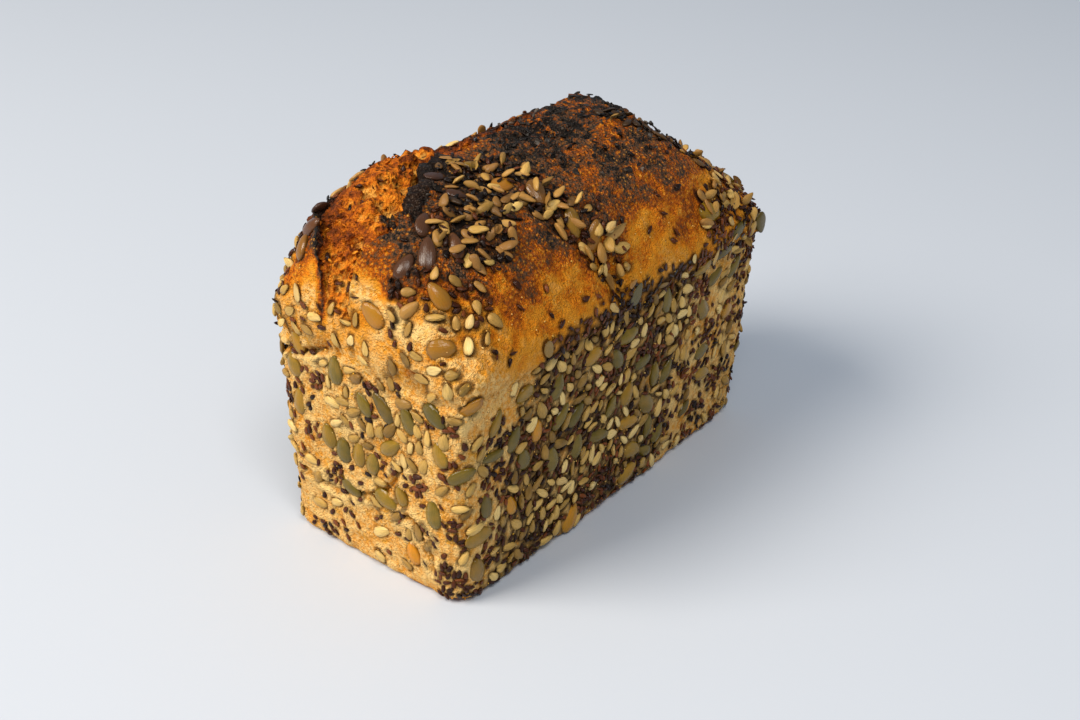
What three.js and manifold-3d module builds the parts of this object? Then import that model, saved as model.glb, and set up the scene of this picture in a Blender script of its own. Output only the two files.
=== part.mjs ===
// A cornmeal loaf baked in an open pullman tin: straight seeded walls that were pressed
// flat by the tin, a rounded foot, and above the rim a tall dome that tore open along one
// slash. Pumpkin seeds and sunflower kernels stand out of the crust.
// Millimetres, +Z up, the long way along Y, origin on the table under the middle.
import * as THREE from 'three';
import * as BufferGeometryUtils from 'three/addons/utils/BufferGeometryUtils.js';
import Module from 'manifold-3d';

// ---- driving dimensions ----------------------------------------------------------

const tin = { width: 99.5, length: 217, depth: 102, flare: 4, belly: 1.5, corner: 10, foot: 4 };

// The dome rises in an arch across and along. A power near 2 is a round arch, and a
// higher one is flatter on top with a steeper shoulder.
const dome = {
  rise: 61.5, left: 3.65, right: 2.3, near: 4.5, far: 3.7, corner: 23,
  fall: 0.4, fallFrom: 50, fallTo: 120, fallAtSides: 0.25,
};

// The dough swells over the rim once it is out of the tin, and tucks in right at the rim.
const lip = { height: 12, tall: 12, right: 4, left: 3, near: 2, far: 2.3, tuck: 1.5, tuckTall: 3 };

// The charred knob on the crest, and the shoulder left of the slash.
const knob = { x: -12, y: 62, high: 5.2, wide: 18, long: 26 };
const shoulder = { x: -42, y: -56, high: 8, wide: 16, long: 26 };

// The slash runs along the loaf: [y, middle x, half width] from the near end to the far.
const slash = [
  [-114, -12, 8], [-104, -17, 14], [-90, -20, 24], [-72, -26, 21],
  [-50, -31, 14], [0, -34, 11], [60, -33, 9], [110, -29, 8],
];
const tear = { openFrom: 14, openTo: 34, closed: 104, closing: 50, sink: 7, floor: 2.5, ear: 2.5, earFade: 9, leftEdge: 2, leftFade: 6, rags: 1.6 };
const mouth = { y: -98, long: 13, deep: 6 };

// A crease crosses the dome from the crest to the right rim: [x, y].
const crease = { line: [[60, -10], [50, -18], [34, -34], [10, -42], [-14, -26]], deep: 2.5, atRim: 4, wide: 6 };

const lumps = { walls: 0.45, top: 1.3 };

const pumpkinSeed = { long: 13.4, wide: 8, thick: 2.8, sides: 6, taper: 0.16, proud: -0.1, onWalls: 0.65, onDome: 0.45, most: 150 };
const sunflowerKernel = { long: 9, wide: 4.8, thick: 2.4, sides: 6, taper: 0.3, proud: -0.05, onWalls: 1, onDome: 1, most: 50 };
const packing = { tries: 9000, room: 0.92, clearOfTable: 0.8, densest: 15000, firstDraw: 20 };

// Seeds that stand out: [face, along the face, up the face (or along y on top), turn].
const standing = [
  ['near', -15, 94, 4], ['near', 0, 83, -28], ['near', -38, 69, 4], ['near', -22, 58, -8],
  ['near', -14, 54, 4], ['near', -5, 56, 6], ['near', 3, 55, 14], ['near', 14, 68, 48],
  ['near', 24, 85, -10], ['near', 3, 43, 2], ['near', 19, 45, -6], ['near', 36, 44, -4],
  ['near', 24, 17, -14], ['near', -39, 87, -4], ['near', -37, 100, -30], ['top', 39, -107, 70],
  ['top', 50, -104, -68], ['right', -91, 71, -86], ['right', -79, 73, 10], ['right', -64, 70, -8],
  ['right', -52, 86, 18], ['right', -48, 69, 44], ['right', -37, 65, 44], ['right', -27, 69, -86],
  ['right', -34, 48, 8], ['right', -52, 49, -10], ['right', -10, 56, 6], ['right', 24, 29, -4],
  ['right', -28, 91, 86], ['right', -9, 81, -26], ['right', -1, 81, -30], ['right', 12, 70, 74],
  ['right', 34, 55, 24], ['right', -2, 90, 82], ['right', 28, 96, -8], ['right', 33, 86, -84],
  ['right', 86, 90, 22], ['top', 50, 54, -56], ['top', 15, -100, 4], ['top', 20, -93, -32],
  ['top', 11, -85, -34], ['top', -9, -57, 6], ['top', 32, -100, -72], ['top', 8, -108, -56],
  ['top', -43, -86, -64], ['top', -42, -96, 82], ['top', -38, -104, -8], ['top', -41, -109, 10],
  ['top', 41, -17, -46], ['top', 11, -37, 28],
];

// Where seeds have drifted together on the dome: a line of [x, y], and how wide it spreads.
const drifts = [
  { line: [[-8, -44], [10, -30], [28, -32], [38, -22], [46, -17], [53, -12]], wide: 10, full: 1 },
  { line: [[2, -38], [14, -56], [24, -74]], wide: 17, full: 1 },
  { line: [[20, -108], [33, -101], [42, -92], [47, -97]], wide: 9, full: 0.9 },
  { line: [[-52, -112], [-51, -70], [-53, 10], [-50, 100]], wide: 9, full: 0.6 },
  { line: [[57, 66], [53, 90], [34, 104], [-10, 112]], wide: 13, full: 0.9 },
  { line: [[2, 50], [18, 66], [30, 78], [34, 98]], wide: 8, full: 0.6 },
];

// The long walls are seeded a little over the rim, from the near corner on.
const overRim = { top: 115, from: -80, to: -58 };

// ---- helpers ---------------------------------------------------------------------

const smooth = THREE.MathUtils.smoothstep;
const arch = (t, power) => Math.max(0, 1 - Math.abs(t) ** power) ** (1 / power);
const hump = (distance, wide) => Math.exp(-((distance / wide) ** 2));

let state = packing.firstDraw;
function draw() {
  state = (state * 1664525 + 1013904223) % 4294967296;
  return state / 4294967296;
}

function slashAt(y) {
  const at = THREE.MathUtils.clamp(y, slash[0][0], slash[slash.length - 1][0]);
  const k = Math.max(1, slash.findIndex((station) => station[0] >= at));
  const [from, to] = [slash[k - 1], slash[k]];
  const t = (at - from[0]) / (to[0] - from[0]);
  const ease = 0.5 * (t + t * t * (3 - 2 * t));
  return { x: from[1] + (to[1] - from[1]) * ease, half: from[2] + (to[2] - from[2]) * ease };
}

// How far (x, y) is from a line of points, and how far along the line it is, from 0 to 1.
function toLine(x, y, line) {
  let best = { distance: Infinity, along: 0 };
  for (let i = 0; i + 1 < line.length; i++) {
    const dx = line[i + 1][0] - line[i][0];
    const dy = line[i + 1][1] - line[i][1];
    const t = ((x - line[i][0]) * dx + (y - line[i][1]) * dy) / (dx * dx + dy * dy);
    const s = THREE.MathUtils.clamp(t, 0, 1);
    const distance = Math.hypot(x - line[i][0] - s * dx, y - line[i][1] - s * dy);
    if (distance < best.distance) best = { distance, along: (i + s) / (line.length - 1) };
  }
  return best;
}

function lumpiness(x, y, z) {
  const broad = Math.sin(x / 9.1 + y / 14.3 + 0.7) * Math.cos(z / 11.7 - y / 17.9 + 1.9);
  const close = Math.sin(x / 5.3 - z / 7.9 + 2.1) * Math.cos(y / 8.7 + z / 13.1 + 0.3);
  return 0.65 * broad + 0.35 * close;
}

// ---- the crust -------------------------------------------------------------------

// A point of the crust. a and b run from -1 to 1 across and along the loaf. On a wall z is
// its height, and on top the dome gives it.
function skin(a, b, wallHeight, onTop) {
  const halfWidth = tin.width / 2;
  const halfLength = tin.length / 2;
  let rise = dome.rise * arch(a, a < 0 ? dome.left : dome.right) * arch(b, b < 0 ? dome.near : dome.far);
  const fall = dome.fall * smooth(b * (halfLength + tin.flare), dome.fallFrom, dome.fallTo);
  rise *= 1 - fall * (1 - dome.fallAtSides * Math.abs(a));
  let z = onTop ? tin.depth + rise : wallHeight;

  // The plan has round corners, rounder above the rim.
  const corner = tin.corner + (dome.corner - tin.corner) * smooth(z - tin.depth, 0, 45);
  let x = a * halfWidth;
  let y = b * halfLength;
  const overX = Math.max(Math.abs(x) - (halfWidth - corner), 0);
  const overY = Math.max(Math.abs(y) - (halfLength - corner), 0);
  const over = Math.hypot(overX, overY);
  const pull = over > 0 ? Math.max(overX, overY) / over : 1;
  x = Math.sign(x) * (Math.min(Math.abs(x), halfWidth - corner) + overX * pull);
  y = Math.sign(y) * (Math.min(Math.abs(y), halfLength - corner) + overY * pull);

  // Walls lean out, swell over the rim, tuck in at it, and round off at the foot.
  const flare = tin.flare * Math.min(z / tin.depth, 1);
  const swell = hump(z - tin.depth - lip.height, lip.tall);
  const tuck = lip.tuck * hump(z - tin.depth + 1, lip.tuckTall);
  const low = THREE.MathUtils.clamp(z / tin.foot, 0, 1);
  const foot = tin.foot * (1 - Math.sqrt(1 - (1 - low) ** 2));
  const leftLip = lip.left * (0.1 + 0.9 * smooth(y, -95, -30));
  const lump = lumpiness(x, y, z);
  const outward = flare - tuck - foot + lumps.walls * lump;
  const outX = outward + swell * (a < 0 ? leftLip : lip.right) + tin.belly * (1 - b * b);
  const outY = outward + swell * (b < 0 ? lip.near : lip.far);
  x += outX * Math.sign(a) * Math.abs(a) ** 3;
  y += outY * Math.sign(b) * Math.abs(b) ** 5;
  if (onTop) z += topRelief(x, y, rise, lump);
  return new THREE.Vector3(x, y, z);
}

function topRelief(x, y, rise, lump) {
  const inland = smooth(rise, 0, 14);
  const open = smooth(rise, tear.openFrom, tear.openTo) * smooth(tear.closed - y, 0, tear.closing);
  const cut = slashAt(y);
  const across = (x - cut.x) / cut.half;
  let z = inland * knob.high * hump(x - knob.x, knob.wide) * hump(y - knob.y, knob.long);
  z += open * shoulder.high * hump(x - shoulder.x, shoulder.wide) * hump(y - shoulder.y, shoulder.long);

  // The torn floor sinks towards the ear, which is the raised right edge of the slash.
  const inside = smooth(cut.half + 1 - Math.abs(x - cut.x), 0, 2);
  const round = 1 - THREE.MathUtils.clamp(across, -1, 1) ** 2;
  let floor = tear.floor + tear.sink * smooth(across, -0.3, 0.9);
  floor += mouth.deep * hump(y - mouth.y, mouth.long) * round;
  floor -= tear.rags * round * Math.sin(x / 2.7 + y / 7.1) * Math.sin(y / 3.3 - x / 6.3 + 1);
  z -= open * inside * floor;
  const pastEar = x - cut.x - cut.half;
  const pastLeft = cut.x - cut.half - x;
  const ear = pastEar > 0 ? Math.exp(-pastEar / tear.earFade) : smooth(pastEar, -2, 0);
  const leftEdge = pastLeft > 0 ? Math.exp(-pastLeft / tear.leftFade) : smooth(pastLeft, -2, 0);
  z += open * (tear.ear * ear + tear.leftEdge * leftEdge);

  const fold = toLine(x, y, crease.line);
  z -= inland * (crease.deep + crease.atRim * (1 - fold.along) ** 3) * hump(fold.distance, crease.wide);
  return z + inland * (lumps.top - lumps.walls) * lump;
}

// ---- the crust as a closed mesh ----------------------------------------------------

// Columns follow the slash, so that its two edges stay sharp: so many left of it, inside
// it, and right of it.
const columns = { left: 6, inside: 6, right: 9 };
const rows = 34;
const wallRows = 4;

function columnAt(i, b) {
  const cut = slashAt(b * (tin.length / 2 + tin.flare));
  const leftEdge = (cut.x - cut.half) / (tin.width / 2);
  const rightEdge = (cut.x + cut.half) / (tin.width / 2);
  if (i <= columns.left) return -1 + (leftEdge + 1) * (1 - Math.cos((Math.PI / 2) * (i / columns.left)));
  const inside = i - columns.left;
  if (inside <= columns.inside) return leftEdge + (rightEdge - leftEdge) * (inside / columns.inside);
  return rightEdge + (1 - rightEdge) * Math.sin((Math.PI / 2) * ((inside - columns.inside) / columns.right));
}

const columnCount = columns.left + columns.inside + columns.right;
const rowAt = (j) => Math.sin((Math.PI / 2) * ((2 * j) / rows - 1));
const heightAt = (k) => (k < 1 ? 0 : tin.foot + ((tin.depth - tin.foot) * (k - 1)) / (wallRows - 1));

// A grid of count[0] by count[1] cells, with place(i, j) giving each corner.
function sheet(count, place) {
  const geometry = new THREE.PlaneGeometry(1, 1, count[0], count[1]);
  const position = geometry.attributes.position;
  for (let n = 0; n < position.count; n++) {
    const i = n % (count[0] + 1);
    const j = count[1] - Math.floor(n / (count[0] + 1));
    position.setXYZ(n, ...place(i, j));
  }
  return geometry;
}

function underside(outline) {
  const flat = outline.map((point) => new THREE.Vector2(point.x, point.y));
  const geometry = new THREE.BufferGeometry().setFromPoints(outline);
  const faces = THREE.ShapeUtils.triangulateShape(flat, []);
  geometry.setIndex(faces.flatMap(([i, j, k]) => [i, k, j]));
  return geometry;
}

function crust() {
  const at = [...Array(columnCount + 1).keys()];
  const by = [...Array(rows + 1).keys()];
  const outline = [
    ...at.map((i) => skin(columnAt(i, -1), -1, 0, false)),
    ...by.slice(1).map((j) => skin(1, rowAt(j), 0, false)),
    ...at.slice(0, -1).reverse().map((i) => skin(columnAt(i, 1), 1, 0, false)),
    ...by.slice(1, -1).reverse().map((j) => skin(-1, rowAt(j), 0, false)),
  ];
  const sheets = [
    sheet([columnCount, rows], (i, j) => skin(columnAt(i, rowAt(j)), rowAt(j), 0, true)),
    sheet([columnCount, wallRows], (i, k) => skin(columnAt(i, -1), -1, heightAt(k), false)),
    sheet([columnCount, wallRows], (i, k) => skin(columnAt(columnCount - i, 1), 1, heightAt(k), false)),
    sheet([rows, wallRows], (j, k) => skin(1, rowAt(j), heightAt(k), false)),
    sheet([rows, wallRows], (j, k) => skin(-1, rowAt(rows - j), heightAt(k), false)),
    underside(outline),
  ];
  for (const geometry of sheets) {
    geometry.deleteAttribute('normal');
    geometry.deleteAttribute('uv');
  }
  return BufferGeometryUtils.mergeVertices(BufferGeometryUtils.mergeGeometries(sheets), 1e-3);
}

// ---- seeds -------------------------------------------------------------------------

// Each face of the crust from s and t, both -1 to 1: s goes along it, and t up it.
const faces = {
  near: (s, t) => skin(s, -1, (tin.depth * (t + 1)) / 2, false),
  right: (s, t) => skin(1, s, (tin.depth * (t + 1)) / 2, false),
  far: (s, t) => skin(-s, 1, (tin.depth * (t + 1)) / 2, false),
  left: (s, t) => skin(-1, -s, (tin.depth * (t + 1)) / 2, false),
  top: (s, t) => skin(Math.sin((Math.PI / 2) * s), Math.sin((Math.PI / 2) * t), 0, true),
};

// A spot on a face: the point, the way out, the way up the face, and the area around it.
function spotAt(face, s, t) {
  const step = 0.004;
  const point = faces[face](s, t);
  const along = faces[face](s + (s > 0 ? -step : step), t).sub(point).divideScalar(s > 0 ? -step : step);
  const up = faces[face](s, t + (t > 0 ? -step : step)).sub(point).divideScalar(t > 0 ? -step : step);
  const out = along.clone().cross(up);
  const area = out.length();
  return { face, point, out: out.normalize(), up: up.normalize(), area };
}

function patchy(u, z) {
  return 0.5 + 0.5 * Math.sin(u / 6.7 + 1.1 * Math.sin(z / 9.3)) * Math.sin(z / 7.9 + u / 23 + 0.6);
}

// How thickly a spot is seeded with one kind, from 0 to 1.
function cover(spot, kind) {
  const { x, y, z } = spot.point;
  if (spot.face === 'top') {
    const drifted = Math.max(...drifts.map((drift) => drift.full * smooth(drift.wide - toLine(x, y, drift.line).distance, 0, 4)));
    const long = smooth(Math.abs(x), 40, 46) * smooth(y, overRim.from, overRim.to);
    return Math.max(kind.onDome * drifted, 0.7 * kind.onWalls * long * smooth(overRim.top - z, 0, 4));
  }
  const belowRim = smooth(tin.depth - z, 2, 6);
  if (spot.face === 'near') {
    const bare = smooth(z - 0.45 * x, 22, 52);
    return kind.onWalls * belowRim * bare * (0.4 + 0.3 * patchy(x, z));
  }
  const u = spot.face === 'far' ? x : y;
  return kind.onWalls * belowRim * (0.7 + 0.3 * patchy(u, z));
}

const taken = new Map();
const cell = 16;

// A seed takes up three balls along its length, and two seeds keep their balls apart.
function takeRoom(centre, way, long, wide) {
  const radius = wide / 2;
  const reach = Math.max(long / 2 - radius, 0);
  const balls = [-reach, 0, reach].map((d) => centre.clone().addScaledVector(way, d));
  const keys = (ball, dx, dy, dz) =>
    `${Math.floor(ball.x / cell) + dx},${Math.floor(ball.y / cell) + dy},${Math.floor(ball.z / cell) + dz}`;
  for (const ball of balls) {
    for (let n = 0; n < 27; n++) {
      const key = keys(ball, (n % 3) - 1, (Math.floor(n / 3) % 3) - 1, Math.floor(n / 9) - 1);
      for (const other of taken.get(key) ?? []) {
        if (other.ball.distanceTo(ball) < packing.room * (other.radius + radius)) return false;
      }
    }
  }
  for (const ball of balls) {
    const key = keys(ball, 0, 0, 0);
    taken.set(key, [...(taken.get(key) ?? []), { ball, radius }]);
  }
  return true;
}

// A seed is a flat oval with bevelled edges, narrower at one end.
function seedShape(kind) {
  const geometry = new THREE.SphereGeometry(1, kind.sides, 3).rotateX(Math.PI / 2);
  const position = geometry.attributes.position;
  for (let n = 0; n < position.count; n++) {
    const y = position.getY(n);
    const x = position.getX(n) * (1 - kind.taper * y);
    position.setXYZ(n, (x * kind.wide) / 2, (y * kind.long) / 2, (position.getZ(n) * kind.thick) / 2);
  }
  geometry.deleteAttribute('normal');
  geometry.deleteAttribute('uv');
  return BufferGeometryUtils.mergeVertices(geometry, 1e-4);
}

// Lays one seed on a spot, turned by an angle from the way up the face, if it has room.
function lay(kind, shape, spot, turn, size) {
  const side = spot.up.clone().cross(spot.out).normalize();
  const upright = spot.out.clone().cross(side);
  const way = upright.multiplyScalar(Math.cos(turn)).addScaledVector(side, Math.sin(turn));
  const centre = spot.point.clone().addScaledVector(spot.out, kind.proud);
  const across = way.clone().cross(spot.out);
  const halfTall = Math.hypot(way.z * kind.long * size, across.z * kind.wide * size, spot.out.z * kind.thick) / 2;
  if (centre.z - halfTall < packing.clearOfTable) return null;
  if (!takeRoom(centre, way, kind.long * size, kind.wide * size)) return null;
  const pose = new THREE.Matrix4().makeBasis(across, way, spot.out).setPosition(centre);
  return shape.clone().scale(size, size, 1).applyMatrix4(pose);
}

function standingSeeds() {
  const shape = seedShape(pumpkinSeed);
  return standing.map(([face, u, v, turn]) => {
    const s = face === 'right' ? u / (tin.length / 2) : u / (tin.width / 2);
    const inverse = (value) => Math.asin(THREE.MathUtils.clamp(value, -1, 1)) / (Math.PI / 2);
    const spot = face === 'top'
      ? spotAt(face, inverse(s), inverse(v / (tin.length / 2)))
      : spotAt(face, s, (2 * v) / tin.depth - 1);
    return lay(pumpkinSeed, shape, spot, THREE.MathUtils.degToRad(turn), 1);
  });
}

function scatteredSeeds(kind, already) {
  const shape = seedShape(kind);
  const names = Object.keys(faces);
  const seeds = [];
  for (let n = 0; n < packing.tries && seeds.length + already < kind.most; n++) {
    const [pick, s, t, keep, turn, size] = [draw(), draw(), draw(), draw(), draw(), draw()];
    const spot = spotAt(names[Math.floor(pick * names.length)], 2 * s - 1, 2 * t - 1);
    if (keep > (spot.area / packing.densest) * cover(spot, kind)) continue;
    const seed = lay(kind, shape, spot, Math.PI * (turn - 0.35), 0.86 + 0.28 * size);
    if (seed) seeds.push(seed);
  }
  return seeds;
}

// ---- the loaf ------------------------------------------------------------------------

const wasm = await Module();
wasm.setup();

function solidOf(geometry) {
  const vertProperties = new Float32Array(geometry.attributes.position.array);
  const triVerts = new Uint32Array(geometry.index.array);
  return new wasm.Manifold(new wasm.Mesh({ numProp: 3, vertProperties, triVerts }));
}

function geometryOf(solid) {
  const mesh = solid.getMesh();
  const geometry = new THREE.BufferGeometry();
  geometry.setAttribute('position', new THREE.BufferAttribute(mesh.vertProperties, 3));
  geometry.setIndex(new THREE.BufferAttribute(mesh.triVerts, 1));
  geometry.computeVertexNormals();
  return geometry;
}

const laid = standingSeeds().filter((seed) => seed);
const seeds = [
  ...laid,
  ...scatteredSeeds(pumpkinSeed, laid.length),
  ...scatteredSeeds(sunflowerKernel, 0),
];

// Each seed that bites into the crust is fused to it.
let solid = solidOf(crust());
for (const seed of seeds.map(solidOf)) {
  const bites = solid.intersect(seed).getMesh().triVerts.length > 0;
  if (bites) solid = solid.add(seed);
}

const loaf = new THREE.Mesh(
  geometryOf(solid),
  new THREE.MeshStandardMaterial({ color: 0xb07a3c, roughness: 0.85, metalness: 0 }),
);
loaf.name = 'loaf';

const group = new THREE.Group();
group.add(loaf);

export default group;
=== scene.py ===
"""The looks of a seeded cornmeal loaf from an open tin, around its solid model.

Sizes in the tables are millimetres, as the baker measures them. Everything handed to
Blender is in metres, in the frame of the solid model: +Z up, the long way along Y.
"""
import math
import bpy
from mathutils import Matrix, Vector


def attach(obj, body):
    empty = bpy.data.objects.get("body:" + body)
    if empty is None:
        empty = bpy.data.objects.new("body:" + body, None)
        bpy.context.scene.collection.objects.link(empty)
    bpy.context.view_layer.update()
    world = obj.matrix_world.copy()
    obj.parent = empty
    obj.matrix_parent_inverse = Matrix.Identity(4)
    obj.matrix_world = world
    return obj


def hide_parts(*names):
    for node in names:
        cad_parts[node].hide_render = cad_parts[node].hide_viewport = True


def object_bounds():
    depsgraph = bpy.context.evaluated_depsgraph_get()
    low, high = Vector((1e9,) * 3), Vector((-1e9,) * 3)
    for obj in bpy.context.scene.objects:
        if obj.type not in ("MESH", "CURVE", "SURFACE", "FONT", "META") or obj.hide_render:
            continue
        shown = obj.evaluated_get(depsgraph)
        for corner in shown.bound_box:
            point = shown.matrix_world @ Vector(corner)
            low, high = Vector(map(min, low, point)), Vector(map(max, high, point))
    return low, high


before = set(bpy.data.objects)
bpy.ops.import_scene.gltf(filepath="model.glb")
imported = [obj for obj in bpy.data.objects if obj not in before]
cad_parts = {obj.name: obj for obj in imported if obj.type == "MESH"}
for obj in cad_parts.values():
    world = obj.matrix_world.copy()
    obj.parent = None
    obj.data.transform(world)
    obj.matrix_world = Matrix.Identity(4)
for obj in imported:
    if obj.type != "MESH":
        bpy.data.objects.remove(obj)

from types import SimpleNamespace as Sizes

import bpy
import numpy as np
from mathutils import Matrix, Vector, kdtree

MM = 0.001
CAD_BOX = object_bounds()

# ---- the loaf, with the same sizes as its solid --------------------------------------

tin = Sizes(width=99.5, length=217, depth=102, flare=4, belly=1.5, corner=10, foot=4)
dome = Sizes(rise=61.5, left=3.65, right=2.3, near=4.5, far=3.7, corner=23,
             fall=0.4, fall_from=50, fall_to=120, fall_at_sides=0.25)
lip = Sizes(height=12, tall=12, right=4, left=3, near=2, far=2.3, tuck=1.5, tuck_tall=3)
knob = Sizes(x=-12, y=62, high=5.2, wide=18, long=26)
shoulder = Sizes(x=-42, y=-56, high=8, wide=16, long=26)
slash = np.array([
    (-114, -12, 8), (-104, -17, 14), (-90, -20, 24), (-72, -26, 21),
    (-50, -31, 14), (0, -34, 11), (60, -33, 9), (110, -29, 8),
], float)
tear = Sizes(open_from=14, open_to=34, closed=104, closing=50, sink=7, floor=2.5,
             ear=2.5, ear_fade=9, left_edge=2, left_fade=6, rags=1.6)
mouth = Sizes(y=-98, long=13, deep=6)
crease = Sizes(line=[(60, -10), (50, -18), (34, -34), (10, -42), (-14, -26)],
               deep=2.5, at_rim=4, wide=6)
lumps = Sizes(walls=0.45, top=1.3)

pumpkin = Sizes(long=13.4, wide=8, thick=2.8, proud=-0.1, on_walls=0.65, on_dome=0.45, most=150, least=1)
sunflower = Sizes(long=9, wide=4.8, thick=2.4, proud=-0.05, on_walls=1, on_dome=1, most=50, least=0.75)
rolled_on = Sizes(long=8.8, wide=4.7, thick=2.5, proud=0.4, on_walls=1, on_dome=1, most=960, least=0.75)
flax = Sizes(long=4.7, wide=2.5, thick=1.2, proud=0.35, on_walls=1, most=4700, in_tufts=2100, least=0.85)
heaped = Sizes(long=7.8, wide=4.1, thick=2.2, proud=1.9, on_walls=1, most=105, least=0.75)
piled_flax = Sizes(long=4.7, wide=2.5, thick=1.2, proud=1.3, on_walls=1, most=470, least=0.85)
husk = Sizes(long=10, wide=4.4, thick=0.5, proud=1.6, on_walls=1, most=22, least=0.7)
flake = Sizes(long=3.8, wide=2.6, thick=0.4, proud=0.8, on_walls=1, most=340, least=0.5)
shred = Sizes(long=3.4, wide=0.8, thick=0.45, proud=0.6, on_walls=1, most=460, least=0.6)
grit = Sizes(long=1.1, wide=0.9, thick=0.8, proud=0.15, on_walls=1, most=2600, least=0.5)
packing = Sizes(tries=9000, room=0.92, clear_of_table=0.8, densest=15000, first_draw=20)

# Seeds that stand out: face, along it, up it (or along y on top), turn in degrees, then
# how brown the skin is and how toasted, both from 0 to 1.
standing = [
    ("near", -15, 94, 4, 0.3, 0), ("near", 0, 83, -28, 0.28, 0), ("near", -38, 69, 4, 0.55, 0),
    ("near", -22, 58, -8, 0.45, 0), ("near", -14, 54, 4, 0.15, 0), ("near", -5, 56, 6, 0.5, 0),
    ("near", 3, 55, 14, 0.4, 0), ("near", 14, 68, 48, 0.45, 0), ("near", 24, 85, -10, 0.2, 0),
    ("near", 3, 43, 2, 0.35, 0), ("near", 19, 45, -6, 0.5, 0), ("near", 36, 44, -4, 0.3, 0),
    ("near", 24, 17, -14, 1, 0), ("near", -39, 87, -4, 0.5, 0), ("near", -37, 100, -30, 0.6, 0.05),
    ("top", 39, -107, 70, 0.75, 0.3), ("top", 50, -104, -68, 0.85, 0.2), ("right", -91, 71, -86, 0.15, 0),
    ("right", -79, 73, 10, 0.1, 0), ("right", -64, 70, -8, 0.9, 0), ("right", -52, 86, 18, 0.15, 0),
    ("right", -48, 69, 44, 0.25, 0), ("right", -37, 65, 44, 0.05, 0), ("right", -27, 69, -86, 0.5, 0),
    ("right", -34, 48, 8, 0.2, 0), ("right", -52, 49, -10, 0.25, 0), ("right", -10, 56, 6, 0.3, 0),
    ("right", 24, 29, -4, 0.2, 0), ("right", -28, 91, 86, 0.6, 0), ("right", -9, 81, -26, 0.1, 0),
    ("right", -1, 81, -30, 0.1, 0), ("right", 12, 70, 74, 0.05, 0), ("right", 34, 55, 24, 0.15, 0),
    ("right", -2, 90, 82, 0.3, 0), ("right", 28, 96, -8, 0.2, 0), ("right", 33, 86, -84, 0.1, 0),
    ("right", 86, 90, 22, 0.2, 0), ("top", 50, 54, -56, 0.5, 0), ("top", 15, -100, 4, 0.8, 0.9),
    ("top", 20, -93, -32, 0.5, 0.9), ("top", 11, -85, -34, 0.8, 0.9), ("top", -9, -57, 6, 0.8, 1),
    ("top", 32, -100, -72, 0.8, 0.3), ("top", 8, -108, -56, 0.85, 0.2), ("top", -43, -86, -64, 0.6, 1),
    ("top", -42, -96, 82, 0.8, 0.75), ("top", -38, -104, -8, 0.7, 0.45), ("top", -41, -109, 10, 0.3, 0.05),
    ("top", 41, -17, -46, 0.75, 0.4), ("top", 11, -37, 28, 0.85, 0.35),
]
drifts = [
    Sizes(line=[(-8, -44), (10, -30), (28, -32), (38, -22), (46, -17), (53, -12)], wide=10, full=1),
    Sizes(line=[(2, -38), (14, -56), (24, -74)], wide=17, full=1),
    Sizes(line=[(20, -108), (33, -101), (42, -92), (47, -97)], wide=9, full=0.9),
    Sizes(line=[(-52, -112), (-51, -70), (-53, 10), (-50, 100)], wide=9, full=0.6),
    Sizes(line=[(57, 66), (53, 90), (34, 104), (-10, 112)], wide=13, full=0.9),
    Sizes(line=[(2, 50), (18, 66), (30, 78), (34, 98)], wide=8, full=0.6),
]
over_rim = Sizes(top=115, start=-80, end=-58)
# Tufts of flax and bare patches on the walls: how far along, how high, how wide.
near_tufts = [(5, 93, 4), (-28, 85, 5), (-31, 59, 4), (-21, 39, 5), (13, 56, 4), (27, 56, 5), (47, 68, 5),
              (46, 92, 4), (-38, 98, 4), (43, 13, 7), (-27, 5, 4), (34, 33, 4), (47, 40, 5), (-46, 70, 4)]
side_tufts = [(-90, 86, 5), (-97, 47, 6), (-93, 22, 8), (-86, 62, 5), (-66, 8, 7), (-12, 14, 10),
              (-62, 66, 4), (20, 72, 10), (66, 16, 10), (76, 60, 7), (60, 88, 8), (92, 92, 7),
              (0, 104, 8), (38, 24, 7), (-102, 5, 7), (92, 66, 6), (82, 30, 7)]
side_bare = [(56, 53, 6), (73, 34, 7), (84, 78, 10), (50, 8, 5), (-98, 76, 10), (-100, 100, 14),
             (68, 103, 8), (40, 104, 4), (-104, 20, 5), (88, 40, 8)]
NEAR, RIGHT, FAR, LEFT, TOP = range(5)
FACE_NUMBER = {"near": NEAR, "right": RIGHT, "top": TOP}

# ---- helpers -------------------------------------------------------------------------


def smooth(value, start, end):
    t = np.clip((value - start) / (end - start), 0, 1)
    return t * t * (3 - 2 * t)


def arch(t, power):
    return np.maximum(0, 1 - np.abs(t) ** power) ** (1 / power)


def hump(distance, wide):
    return np.exp(-((distance / wide) ** 2))


def oval(x, y, spot):
    """1 in the middle of a spot of the dome, falling to 0 around it."""
    return hump(x - spot.x, spot.wide) * hump(y - spot.y, spot.long)


def slash_at(y):
    """Middle x and half width of the slash at each y."""
    at = np.clip(y, slash[0, 0], slash[-1, 0])
    k = np.maximum(1, np.searchsorted(slash[:, 0], at, side="left"))
    t = (at - slash[k - 1, 0]) / (slash[k, 0] - slash[k - 1, 0])
    ease = 0.5 * (t + t * t * (3 - 2 * t))
    return slash[k - 1, 1] + (slash[k, 1] - slash[k - 1, 1]) * ease, \
        slash[k - 1, 2] + (slash[k, 2] - slash[k - 1, 2]) * ease


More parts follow.
